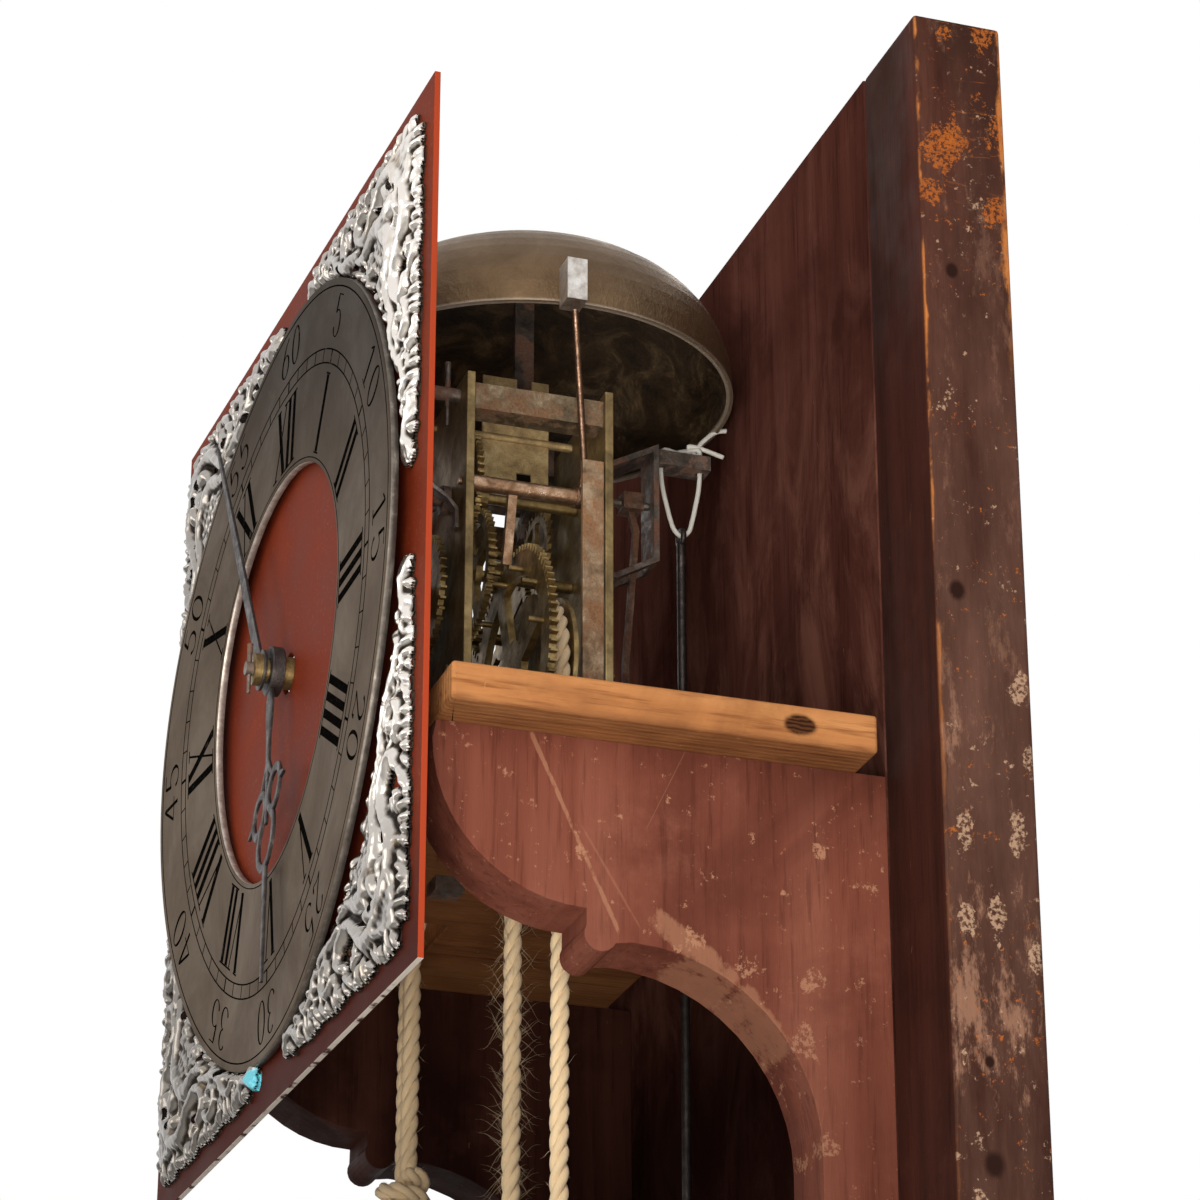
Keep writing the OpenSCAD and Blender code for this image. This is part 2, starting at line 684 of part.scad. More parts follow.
module dial_feet() color(iron) in_clock() difference() {
    for (s = [-1, 1]) for (z = [foot_low_z, foot_z]) bar_y([s * foot_x, z], 0, plate_front, foot_r);
    skewed() block([-80, -10, -80], [80, dial_thick, 120]);
    foot_pins();
}

// The upper feet's pins stand upright and the lower feet's lie flat
module foot_pins() for (s = [-1, 1]) {
    translate([s * foot_x, plate_front - 4, foot_z - 12]) cylinder(r1 = 0.7, r2 = 1.1, h = 24);
    translate([s * foot_x - 8, plate_front - 4, foot_low_z]) rotate([0, 90, 0]) cylinder(r1 = 0.7, r2 = 1.1, h = 16);
}

// Taper pins: one through each dial foot, and one across the centre stud in front of the hands
module taper_pins() color(iron) in_clock() {
    foot_pins();
    translate([0, minute_hand_y - 3.6, -9]) cylinder(r1 = 0.6, r2 = 1, h = 18);
}

minute_hand_angle = 118.1;
hour_hand_angle = 280.7;

// A flat blade drawn along X, turned to its angle round the dial's centre and leaning out from the dial
module blade(a, y) rotate([0, -a, 0]) translate([0, y, 0]) rotate([0, 0, -hand_lean]) plate_xz(0, hand_thick) children();

module minute_hand() color("#3a3330") in_clock() difference() {
    union() {
        bar_y([0, 0], minute_hand_y, minute_hand_y + hand_thick, 7);
        blade(minute_hand_angle, minute_hand_y) polygon([[5.9, -3.2], [minute_length * 0.55, -2.4],
            [minute_length, -0.7], [minute_length, 0.7], [minute_length * 0.55, 2.4], [5.9, 3.2]]);
    }
    bar_y([0, 0], minute_hand_y - 1, minute_hand_y + 2, cannon_r - 1);
}

// A thick boss, three linked loops and a slender tip
module hour_hand() color("#3a3330") in_clock() difference() {
    union() {
        bar_y([0, 0], boss_front, boss_back, boss_r);
        blade(hour_hand_angle, hour_hand_y) difference() {
            union() {
                polygon([[4, -2.6], [14, -4.4], [30, -2], [44, -1.8], [76, -2.2], [hour_length, -0.6],
                    [hour_length, 0.6], [76, 2.2], [44, 1.8], [30, 2], [14, 4.4], [4, 2.6]]);
                for (s = [-1, 1]) translate([52, s * 9.5]) circle(9);
                translate([66.5, 0]) circle(9.5);
                for (s = [-1, 1]) polygon([[50, s * 16], [53, s * 22], [56, s * 16]]);
            }
            for (s = [-1, 1]) translate([52, s * 9.5]) circle(5.8);
            translate([66.5, 0]) circle(6.3);
        }
    }
    bar_y([0, 0], boss_front - 1, boss_back + 1, hour_bore);
}

module hand_collet() color(brass) in_clock() difference() {
    bar_y([0, 0], minute_hand_y - 2.5, minute_hand_y, 5.5);
    bar_y([0, 0], minute_hand_y - 4, minute_hand_y + 1, stud_r);
}

module cannon_pinion() color(brass) in_clock() difference() {
    union() {
        plate_xz(motion_y, 2) rotate(0) teeth2d(cannon_teeth, drive_module, add_p, 0.2, 0.12,
            angle_to(going_at, [0, 0]) + 180 + 180 / cannon_teeth);
        bar_y([0, 0], minute_hand_y + hand_thick, motion_y + 1, cannon_r);
    }
    bar_y([0, 0], minute_hand_y - 1, plate_front, cannon_bore);
}

module hour_wheel() color(brass) in_clock() difference() {
    union() {
        wheel([0, 0], hour_y, wheel_thick, hour_teeth, hour_module, angle_to([0, 0], minute_at), 9, 4, 4, 5);
        bar_y([0, 0], boss_back, hour_y + wheel_thick + 3, hour_pipe_r);
    }
    bar_y([0, 0], minute_hand_y, plate_front, hour_bore);
}

cannon_phase = angle_to(going_at, [0, 0]) + 180 + 180 / cannon_teeth;
cannon_pitch = 360 / cannon_teeth;
lead_leaf = (minute_angle - cannon_phase) / cannon_pitch;
mesh_shift = (lead_leaf - floor(lead_leaf)) * cannon_pitch;

module minute_wheel() color(brass) in_clock() difference() {
    union() {
        plate_xz(motion_y, wheel_thick) translate(minute_at) teeth2d(minute_teeth, drive_module, add_w, 0.22, 0.1,
            minute_angle + 180 + 180 / minute_teeth + mesh_shift * cannon_teeth / minute_teeth);
        pinion(minute_at, hour_y - 1, motion_y - hour_y + 2, minute_pinion, hour_module, minute_angle);
        bar_y(polar(minute_at, 16, 62.5), motion_y + wheel_thick - 1, motion_y + wheel_thick + 2, 0.9);
    }
    bar_y(minute_at, hour_y - 4, plate_front, cannon_bore);
}

// Wheels on the going side
module going_great_wheel() color(brass) in_clock() {
    difference() {
        union() {
            wheel(going_at, going_y, great_thick, great_teeth, great_module, second_angle, 12, 4.5, 4, 7);
            bar_y(going_at, front_in + slip, back_in - slip, arbor_r + 0.4);
            bar_y(going_at, plate_front - 7, front_in + 1, arbor_r);
            bar_y(going_at, back_in - 1, back_out + 1, pivot_r);
            wheel(going_at, motion_y, 2, drive_teeth, drive_module, angle_to(going_at, [0, 0]), 8, 3.5, 4, 5);
        }
    }
}

module rope_pulley(p, y, half) difference() {
    union() {
        bar_y(p, y - half, y + half, groove_r);
        for (k = [-half, half - 1.5]) bar_y(p, y + k, y + k + 1.5, flange_r);
    }
    bar_y(p, y - half - 1, y + half + 1, arbor_r + 0.4);
}

pulley_half = 5;

module going_pulley() color(brass) in_clock() rope_pulley(going_at, going_rope_y, pulley_half);

module strike_pulley() color(brass) in_clock() rope_pulley(strike_at, strike_rope_y, pulley_half);

module second_wheel() color(brass) in_clock() {
    wheel(second_at, second_y, wheel_thick, second_teeth, second_module, angle_to(second_at, escape_at), 7, 3, 4, 4);
    pinion(second_at, going_y - 1, great_thick + 3, second_pinion, great_module, second_angle);
    arbor(second_at, arbor_r);
}

module escape_wheel() color(brass) in_clock() {
    plate_xz(escape_y, 1.5) translate(escape_at) difference() {
        polygon([for (i = [0:escape_teeth - 1]) for (k = [[0, 0], [0.12, -3.4], [0.8, -3.4]])
            polar([0, 0], escape_r + k[1], (i + k[0]) * 360 / escape_teeth)]);
        difference() {
            circle(escape_r - 6);
            circle(4.5);
            for (i = [0:3]) rotate(i * 90) translate([0, -1.2]) square([escape_r - 5, 2.4]);
        }
    }
    pinion(escape_at, second_y - 1.5, 5, escape_pinion, second_module, angle_to(second_at, escape_at));
    bar_y(escape_at, front_in + slip, second_y - 1, arbor_r);
    bar_y(escape_at, second_y - 1, escape_y + 1, 0.9);
    bar_y(escape_at, escape_y - 1.2, back_in - slip, arbor_r);
    bar_y(escape_at, plate_front - 1, front_in + 1, pivot_r);
    bar_y(escape_at, back_in - 1, back_out + 1, pivot_r);
}

pallet_gap = 1.5;

module pallets() color(iron) in_clock() {
    tip = (escape_r + pallet_gap) / sqrt(2);
    drop = pallet_at[1] - escape_at[1] - tip;
    plate_xz(escape_y - 0.8, 3) translate(pallet_at) difference() {
        union() {
            circle(4.2);
            for (s = [-1, 1]) scale([s, 1]) polygon([[0, 4], [tip + 2, -drop * 0.45], [tip + 3, -drop - 1],
                [tip, -drop], [tip - 2, -drop * 0.6], [0, -3.4]]);
        }
    }
    bar_y(pallet_at, front_in + slip, post_y - slip, pallet_arbor_r);
    bar_y(pallet_at, plate_front - 1, front_in + 1, pivot_r);
    bar_y(pallet_at, post_y - 1, post_y + 2.5, pivot_r);
}

crutch_y = post_y - 6.5;
crutch_low = -12;
crutch_wire = 2.2;
fork_half = rod_r + slip + crutch_wire / 2;

module crutch() color(iron) in_clock() {
    x = pallet_at[0];
    top = pallet_at[1] - 3;
    difference() {
        block([x - 4, crutch_y - 3.7, pallet_at[1] - 3.2], [x + 4, crutch_y + 3.7, pallet_at[1] + 3.2]);
        bar_y(pallet_at, crutch_y - 5, crutch_y + 5, pallet_arbor_r);
    }
    fork_y = cord_y - rod_r - 4;
    half = crutch_wire / 2;
    plate_yz(x - half, crutch_wire) strap2d([[crutch_y, top], [crutch_y + 2, 73], [crutch_y + 1, 59.5],
        [crutch_y - 2, 21], [crutch_y - 2, crutch_low + 6], [crutch_y + 4, crutch_low], [fork_y, crutch_low]],
        crutch_wire);
    plate_xy(crutch_low - half, crutch_wire) difference() {
        translate([x - fork_half - half, fork_y - half]) square([2 * fork_half + crutch_wire, cord_y + 4 - fork_y]);
        translate([x - fork_half + half, fork_y + half]) square([2 * fork_half - crutch_wire, cord_y + 4 - fork_y]);
    }
}

// A doubled cord through the cock's tongue, knotted above it
module suspension_cord() color("#e8e4da") in_clock() {
    x = pallet_at[0];
    knot = [cord_y + 1, tongue_high + 5];
    bend = 1.9;
    translate([x, 0, 0]) rotate([0, 0, 90]) rope_tube(concat([knot, [cord_y - cord_reach, tongue_high + 1.4],
        [cord_y - cord_reach, tongue_low - 0.6]], arc([cord_y, cord_low + bend], bend, 180, 360, 6),
        [[cord_y + cord_reach, tongue_low - 0.6], [cord_y + cord_reach, tongue_high + 1.4], knot + [1, 0.4]]), 0, cord_r, 8);
    translate([x, knot[0], knot[1]]) sphere(2.6, $fn = 16);
    for (s = [-1, 1]) rod([x, knot[0], knot[1]], [x + 6 * s, knot[0] + 6, knot[1] + 3 + 2 * s], cord_r);
}

ring_major = 2.7;
ring_minor = 1;
hook_z = cord_low + cord_r + 0.1 - (ring_major - ring_minor);
rod_foot = bob_z - bob_r - 26;

module pendulum_rod() color(iron) in_clock() translate([pallet_at[0], cord_y, 0]) {
    translate([0, 0, hook_z]) rotate([90, 0, 0]) rotate_extrude() translate([ring_major, 0]) circle(ring_minor, $fn = 24);
    translate([0, 0, rod_foot]) cylinder(r = rod_r, h = hook_z - ring_major + 0.4 - rod_foot);
}

// A lens of two shallow cones with a round edge
module pendulum_bob() color(brass) in_clock() translate([pallet_at[0], cord_y, bob_z]) difference() {
    rotate([90, 0, 0]) rotate_extrude() polygon([[0, -bob_thick / 2], [bob_r * 0.5, -bob_thick * 0.4],
        [bob_r, -1], [bob_r, 1], [bob_r * 0.5, bob_thick * 0.4], [0, bob_thick / 2]]);
    translate([0, 0, -bob_r - 1]) cylinder(r = rod_r, h = 2 * bob_r + 2);
}

module rating_nut() color(brass) in_clock() translate([pallet_at[0], cord_y, bob_z - bob_r - 8]) difference() {
    cylinder(r = 6, h = 5, $fn = 6);
    translate([0, 0, -1]) cylinder(r = rod_r, h = 7);
}

// Wheels on the striking side
pins = 12;
pin_ring_r = 35.7;
tail_angle = 83.6;

module strike_great_wheel() color(brass) in_clock() {
    wheel(strike_at, strike_y, great_thick, great_teeth, great_module, hoop_angle, 12, 8.5, 4, 7);
    for (i = [0:pins - 1]) bar_y(polar(strike_at, pin_ring_r, tail_angle + (i + 0.5) * 360 / pins),
        strike_y - pin_length, strike_y + 1, 1);
    bar_y(strike_at, front_in + slip, back_in - slip, arbor_r + 0.4);
    bar_y(strike_at, plate_front - 1, front_in + 1, pivot_r);
    bar_y(strike_at, back_in - 1, rear_y + 0.5, arbor_r);
    pinion(strike_at, rear_y, 1.5, count_pinion, count_module, 0);
}

module hoop_wheel() color(brass) in_clock() {
    wheel(hoop_at, hoop_y, wheel_thick + 0.4, hoop_teeth, hoop_module, warning_angle, 7, 3.4, 4, 4);
    pinion(hoop_at, strike_y - 1, great_thick + 2.4, hoop_pinion, great_module, hoop_angle);
    arbor(hoop_at, arbor_r);
}

module warning_wheel() color(brass) in_clock() {
    wheel(warning_at, warning_y, wheel_thick, warning_teeth, warning_module, fly_angle, 6, 3, 4, 3.5);
    pinion(warning_at, hoop_y - 1, wheel_thick + 2.4, warning_pinion, hoop_module, warning_angle);
    arbor(warning_at, arbor_r);
}

fly_front = front_in + 13.5;
fly_depth = 24;

module fly() color(brass) in_clock() {
    difference() {
        block([fly_at[0] - 0.5, fly_front, fly_at[1] - fly_half], [fly_at[0] + 0.5, fly_front + fly_depth, fly_at[1] + fly_half]);
        for (s = [-1, 1]) translate([fly_at[0] - 2, fly_front + 12.4, fly_at[1] + s * fly_half - 11]) cube([4, 5.4, 22]);
    }
    pinion(fly_at, warning_y - 1, wheel_thick + 2.2, fly_pinion, warning_module, fly_angle);
    arbor(fly_at, 1.5);
}

tail_tip = polar(strike_at, pin_ring_r + 2.8, tail_angle);

module hammer_arbor() color("#9a6a4c") in_clock() {
    arbor(hammer_at, hammer_arbor_r);
    plate_xz(tail_y, 3) strap2d([hammer_at, tail_tip], 2.4);
}

hammer_collar = [back_in - 9, back_in - 4.5];
head_at = [bell_r + 8, bell_y - 8.5, bell_rise + 2.3];

module hammer() color(lead) in_clock() {
    difference() {
        bar_y(hammer_at, hammer_collar[0], hammer_collar[1], hammer_arbor_r + 0.9);
        bar_y(hammer_at, hammer_collar[0] - 1, hammer_collar[1] + 1, hammer_arbor_r);
    }
    y = (hammer_collar[0] + hammer_collar[1]) / 2;
    knee = [hammer_at[0] + 0.6, y + 1, hammer_at[1] + 12];
    rod([hammer_at[0], y, hammer_at[1] + hammer_arbor_r + 0.6], knee, 1.2);
    translate(knee) sphere(1.4);
    rod(knee, head_at, 1.2);
    block(head_at - [4.5, 3.5, 7.8], head_at + [4.5, 3.5, 7.8]);
}

count_r = 44.8;
count_ring = 2.2;

module count_wheel() color(brass) in_clock() difference() {
    union() {
        wheel(count_at, rear_y, 1.8, count_teeth, count_module, 0, 12, 5, 4, 6);
        plate_xz(rear_y + 1.8, count_ring) translate(count_at) difference() {
            circle(count_r, $fn = 96);
            circle(count_r - 12, $fn = 96);
            for (i = [0:10]) rotate(i * (i + 1) / 2 * 360 / 78 * 1.13 - 40) translate([count_r - 4, -1.4]) square([6, 2.8]);
        }
    }
    bar_y(count_at, rear_y - 1, rear_y + 6, stud_r + pivot_gap);
}

module detent_lever() color(iron) in_clock() {
    arbor(detent_at, arbor_r);
    bar_y(detent_at, back_out + 0.5, rear_y + 3.8, 3.5);
    rest = polar(count_at, count_r + 2.4, 140);
    plate_xz(rear_y + 1.9, 1.9) strap2d([detent_at, detent_at - [18, 22], rest], 2.2);
}

module lifting_piece() color(iron) in_clock() difference() {
    y = plate_front - 2.4;
    union() {
        plate_xz(y, 1.4) strap2d([lift_at - [2, -0.5], [22, 58], [6, 50], [4, 46]], 3.4);
        bar_y(lift_at, y - 0.6, plate_front - 0.5, 5);
    }
    bar_y(lift_at, plate_front - 8, plate_front + 1, stud_r + pivot_gap);
}

// A swept tube through a chain of points that lie in one XZ plane
function chain_dir(c, i) = let (a = c[max(i - 1, 0)], b = c[min(i + 1, len(c) - 1)]) (b - a) / norm(b - a);

module rope_tube(c, y, r, sides) {
    n = len(c);
    pts = [for (i = [0:n - 1]) for (k = [0:sides - 1]) let (d = chain_dir(c, i), a = 360 * k / sides)
        [c[i][0] - d[1] * r * cos(a), y + r * sin(a), c[i][1] + d[0] * r * cos(a)]];
    sleeve = [for (i = [0:n - 2]) for (k = [0:sides - 1]) let (p = i * sides + k, q = i * sides + (k + 1) % sides)
        each [[p, q, p + sides], [q, q + sides, p + sides]]];
    first = [for (k = [1:sides - 2]) [0, k + 1, k]];
    last = [for (k = [1:sides - 2]) [for (v = [0, k, k + 1]) (n - 1) * sides + v]];
    polyhedron(pts, concat(sleeve, first, last));
}

rope_sides = 10;
knot_z = -158;
going_weight_x = -great_x - rope_run_r;
strike_weight_x = great_x + rope_run_r;
slack_x = going_weight_x + rope_d + 0.3;
leave = [slack_x, seat_under - 2];
leave_reach = norm(going_at - leave);
leave_angle = angle_to(leave, going_at) - asin(rope_run_r / leave_reach) - 90;

// The going rope's slack side is drawn in beside its taut side and tied to it
module going_rope() color(rope_tan) in_clock() {
    rope_tube(concat([[going_weight_x, weight_top + 14], [going_weight_x, weight_top * 0.7], [going_weight_x, weight_top * 0.35]],
        [for (i = [0:24]) polar(going_at, rope_run_r, 180 + (leave_angle - 180) * i / 24)],
        [leave, [slack_x, knot_z], [slack_x, knot_z - 60]]), going_rope_y, rope_r, rope_sides);
    translate([going_weight_x + rope_r, going_rope_y, knot_z]) rotate([0, 90, 0])
        rotate_extrude($fn = 20) translate([rope_r + 1.2, 0]) circle(rope_r, $fn = 10);
}

module strike_rope() color(rope_tan) in_clock()
    rope_tube(concat([[strike_weight_x, weight_top + 14], [strike_weight_x, weight_top * 0.7], [strike_weight_x, weight_top * 0.35]],
        [for (i = [0:20]) polar(strike_at, rope_run_r, 180 * i / 20)],
        [[strike_at[0] - rope_run_r, weight_top * 0.35], [strike_at[0] - rope_run_r, weight_top * 0.7],
        [strike_at[0] - rope_run_r, weight_top - 60]]), strike_rope_y, rope_r, rope_sides);

// A lead-filled cylinder with a domed top and an iron hook eye
module weight(x, y) translate([x, y, weight_top]) {
    translate([0, 0, -20 - weight_height]) cylinder(r = weight_r, h = weight_height);
    translate([0, 0, -20]) cylinder(r1 = weight_r, r2 = 8, h = 8);
    translate([0, 0, -13]) cylinder(r = 2, h = 7);
    plate_xz(-2, 4) difference() {
        circle(8);
        circle(4.4);
    }
    translate([0, 0, 7]) cylinder(r = 4.5, h = 7);
}

module going_weight() color("#54504a") in_clock() weight(going_weight_x, going_rope_y);

module strike_weight() color("#54504a") in_clock() weight(strike_weight_x, strike_rope_y);

backboard();
backboard_ears();
trunk_side_left();
trunk_side_right();
seatboard();
trunk_front_frame();
trunk_door();
door_hinge_leaves();
door_hinge_knuckles();
door_latch();
trunk_top_moulding();
trunk_base_moulding();
plinth_boards();
plinth_skirting();
front_plate();
back_plate();
pillars();
seatboard_bolts();
back_cock();
hammer_spring();
detent_spring();
bell_stand();
bell();
bell_nut();
motion_studs();
dial_plate();
chapter_ring();
spandrels();
dial_feet();
taper_pins();
minute_hand();
hour_hand();
hand_collet();
cannon_pinion();
hour_wheel();
minute_wheel();
going_great_wheel();
going_pulley();
second_wheel();
escape_wheel();
pallets();
crutch();
suspension_cord();
pendulum_rod();
pendulum_bob();
rating_nut();
strike_great_wheel();
strike_pulley();
hoop_wheel();
warning_wheel();
fly();
hammer_arbor();
hammer();
count_wheel();
detent_lever();
lifting_piece();
going_rope();
strike_rope();
going_weight();
strike_weight();
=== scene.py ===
"""Longcase clock with its hood lifted off.

Adds the ropes, castings, figures, bent chapter ring and pierced hand to the CAD frame, and gives every piece its look.
"""
import random
from math import asin, atan2, ceil, cos, degrees, dist, exp, hypot, pi, radians, sin, sqrt

import bpy
import numpy as np
from mathutils import Matrix, Vector


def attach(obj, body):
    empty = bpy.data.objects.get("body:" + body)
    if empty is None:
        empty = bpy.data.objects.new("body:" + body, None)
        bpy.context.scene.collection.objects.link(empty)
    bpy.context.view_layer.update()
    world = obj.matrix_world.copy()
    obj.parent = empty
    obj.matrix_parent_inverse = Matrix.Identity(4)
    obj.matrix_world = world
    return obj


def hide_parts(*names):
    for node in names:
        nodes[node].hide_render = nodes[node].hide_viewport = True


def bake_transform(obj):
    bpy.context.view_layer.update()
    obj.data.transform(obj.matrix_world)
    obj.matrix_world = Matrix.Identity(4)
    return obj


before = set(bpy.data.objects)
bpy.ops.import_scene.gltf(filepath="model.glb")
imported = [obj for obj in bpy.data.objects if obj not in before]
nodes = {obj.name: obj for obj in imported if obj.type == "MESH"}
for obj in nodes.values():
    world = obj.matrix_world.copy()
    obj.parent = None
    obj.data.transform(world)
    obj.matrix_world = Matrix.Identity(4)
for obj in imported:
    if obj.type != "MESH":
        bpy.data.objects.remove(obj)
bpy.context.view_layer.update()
random.seed(7)
rng = np.random.default_rng(11)

# ---------------- places, in millimetres from the dial centre
DIAL_Y = -70.45
DIAL_Z = 1750.0
SKEW = radians(1.67)
TAU = 2 * pi
SEAT_UNDER = -67.7


def P(x, y, z):
    """A point of the clock's own frame, in metres of the row frame."""
    return Vector((x / 1000, (y + DIAL_Y) / 1000, (z + DIAL_Z) / 1000))


def D(x, y, z):
    """A point of the dial, which stands a little out of line with the plates."""
    c, s = cos(SKEW), sin(SKEW)
    return P(x * c - y * s, x * s + y * c, z)


# ---------------- camera
cam_data = bpy.data.cameras.new("camera")
cam_data.lens = 119.94
cam_data.sensor_width = 36
cam_data.clip_start = 0.05
cam_data.clip_end = 50
camera = bpy.data.objects.new("camera", cam_data)
bpy.context.scene.collection.objects.link(camera)
right, up, back = Vector((0.320, 0.947, 0)), Vector((0.3902, -0.1318, 0.9113)), Vector((0.8634, -0.2916, -0.4118))
turn = Matrix((right, up, back)).transposed().to_quaternion().to_matrix().to_4x4()
camera.matrix_world = Matrix.Translation((1.2075, -0.36745, 1.2173)) @ turn
bpy.context.scene.camera = camera
bpy.context.scene.view_settings.view_transform = "Standard"


# ---------------- materials
def put(tree, socket, value):
    if isinstance(value, bpy.types.NodeSocket):
        tree.links.new(value, socket)
    else:
        socket.default_value = (*value, 1) if socket.type == "RGBA" else value


def add_node(tree, kind, inputs, out=0, **props):
    """A node with its properties and inputs set; gives one output, or all of them for out=None."""
    node = tree.nodes.new("ShaderNode" + kind)
    for key, value in props.items():
        setattr(node, key, value)
    for socket, value in inputs.items():
        put(tree, node.inputs[socket], value)
    return node.outputs if out is None else node.outputs[out]


class Look:
    """One procedural material: each call adds a node and gives its output, and coats build up its colour."""

    def __init__(self, name, rough=0.5, metal=0.0, spec=0.5, sheen=0.0):
        self.mat = bpy.data.materials.new(name)
        self.mat.use_nodes = True
        self.tree = self.mat.node_tree
        self.shader = self.tree.nodes["Principled BSDF"]
        for socket, value in (("Roughness", rough), ("Metallic", metal), ("Specular IOR Level", spec),
                              ("Sheen Weight", sheen)):
            self.shader.inputs[socket].default_value = value
        coords = self.node("TexCoord", {}, None)
        self.at, self.uv = coords["Object"], coords["UV"]
        self.colour = self.normal = None

    def node(self, kind, inputs, out=0, **props):
        return add_node(self.tree, kind, inputs, out, **props)

    def place(self, scale=(1, 1, 1), at=None, turn=(0, 0, 0), move=(0, 0, 0)):
        return self.node("Mapping", {"Vector": at or self.at, "Location": move, "Rotation": turn, "Scale": scale})

    def noise(self, scale, detail, rough=0.55, stretch=(1, 1, 1), distort=0.0, move=(0, 0, 0)):
        where = self.place(tuple(scale * s for s in stretch), move=move)
        return self.node("TexNoise", {"Vector": where, "Scale": 1.0, "Detail": detail, "Roughness": rough,
                                      "Distortion": distort})

    def patches(self, low, high, *size, **kind):
        """Noise cut off smoothly between two levels."""
        return self.step(self.noise(*size, **kind), low, high)

    def ramp(self, fac, *stops):
        node = self.tree.nodes.new("ShaderNodeValToRGB")
        put(self.tree, node.inputs[0], fac)
        marks = node.color_ramp.elements
        while len(marks) < len(stops):
            marks.new(0.5)
        for mark, (pos, colour) in zip(marks, stops):
            mark.position = pos
            mark.color = (*colour, 1)
        return node.outputs[0]

    def mix(self, fac, a, b, mode="MIX"):
        return self.node("Mix", {0: fac, 6: a, 7: b}, 2, data_type="RGBA", blend_type=mode)

    def calc(self, op, *values):
        return self.node("Math", dict(enumerate(values)), operation=op)

    def times(self, first, *others):
        for other in others:
            first = self.calc("MULTIPLY", first, other)
        return first

    def plus(self, a, b):
        return self.calc("ADD", a, b)

    def reach(self, a, b):
        return self.calc("SQRT", self.plus(self.times(a, a), self.times(b, b)))

    def step(self, value, low, high, to_low=0.0, to_high=1.0):
        """Smooth step of a value between two limits."""
        return self.node("MapRange", dict(enumerate((value, low, high, to_low, to_high))),
                         interpolation_type="SMOOTHSTEP")

    def axes(self, at=None):
        return self.node("SeparateXYZ", {0: at or self.at}, None)

    def axes_from(self, point):
        return self.axes(self.place(move=tuple(-v for v in point)))

    def rise(self, low, high, to_low=0.0, to_high=1.0):
        """Smooth step between two heights, in millimetres from the dial centre."""
        return self.step(self.axes()[2], P(0, 0, low).z, P(0, 0, high).z, to_low, to_high)

    def near(self, point, radius, axes):
        """1 at a point, falling to 0 at a radius in millimetres; an axis of 0 is left out."""
        where = self.place(axes, move=tuple(-p * a for p, a in zip(point, axes)))
        return self.step(self.node("VectorMath", {0: where}, "Value", operation="LENGTH"), radius / 1000, 0.0)

    def bump(self, height, strength, distance):
        inputs = {"Height": height, "Strength": strength, "Distance": distance}
        if self.normal is not None:
            inputs["Normal"] = self.normal
        self.normal = self.node("Bump", inputs)

    def coat(self, tint, mask, amount=None, mode="MIX"):
        """Lay a tint over the colour where the mask says, as strongly as the amount says."""
        self.colour = self.mix(mask if amount is None else self.times(mask, amount), self.colour, tint, mode)

    def done(self, rough=None, metallic=None):
        for socket, value in (("Base Color", self.colour), ("Roughness", rough), ("Metallic", metallic),
                              ("Normal", self.normal)):
            if value is not None:
                put(self.tree, self.shader.inputs[socket], value)
        return self.mat


def wood(name, dark, mid, light, grain="z", wear_and_shade=None, rough=0.62, streak=1.0, spec=0.04, worn=(0.3, 0.13, 0.06)):
    """Stained board: grain along one axis, blotches, scratches and what wear_and_shade() adds, which for some boards is
    painted shade.
    """
    k = Look(name, rough, spec=spec)
    stretch = {"x": (0.06, 1, 1), "y": (1, 0.06, 1), "z": (1, 1, 0.06)}[grain]
    broad = k.noise(38, 5, stretch=stretch, distort=0.4)
    fine = k.noise(420, 3, 0.7, stretch)
    pores = k.noise(1500, 2, stretch=tuple(s * 0.6 if s < 1 else 1 for s in stretch))
    k.colour = k.ramp(broad, (0.25, dark), (0.5, mid), (0.78, light))
    k.coat(dark, k.patches(0.44, 0.7, 9, 6, 0.65, distort=0.6), 0.75)
    k.coat(light, k.patches(0.52, 0.8, 34, 6, 0.7, move=(3, 1, 2)), 0.45)
    k.coat(dark, k.step(fine, 0.5, 0.72), 0.35 * streak, "MULTIPLY")
    k.coat(worn, k.patches(0.7, 0.76, 160, 3, 0.6, (1, 1, 0.25), distort=2.2), 0.4)
    if wear_and_shade is not None:
        wear_and_shade(k)
    k.bump(fine, 0.25 * streak, 0.0006)
    k.bump(pores, 0.12, 0.0003)
    k.bump(broad, 0.35, 0.0015)
    return k.done(k.step(k.noise(60, 4), 0.3, 0.75, rough - 0.1, rough + 0.14))


def metal(name, base, dark, light, rough, scale, metallic=0.85, rust=None, brushed=None, pit=0.35):
    """Aged metal: tarnish patches, pits and, where rust is given, a matt crust."""
    k = Look(name, rough, metallic)
    patch = k.noise(scale, 6, 0.65, distort=0.4)
    speck = k.noise(scale * 9, 3, 0.6)
    k.colour = k.ramp(patch, (0.3, dark), (0.52, base), (0.76, light))
    k.coat(dark, k.step(speck, 0.55, 0.75), 0.5)
    shine = k.step(patch, 0.3, 0.75, rough + 0.14, rough - 0.1)
    if brushed:
        k.bump(k.noise(1400, 2, stretch=brushed), 0.12, 0.0003)
    if rust:
        crust = k.patches(0.44, 0.6, scale * 0.7, 7, 0.7, move=(5, 2, 1))
        k.coat(k.ramp(speck, (0.3, rust), (0.7, tuple(c * 1.9 for c in rust))), crust)
        shine = k.mix(crust, shine, (0.85, 0.85, 0.85))
        metallic = k.step(crust, 0.2, 0.8, metallic, 0.1)
        k.bump(crust, 0.3, 0.0006)
    k.bump(speck, pit, 0.0004)
    return k.done(shine, metallic)


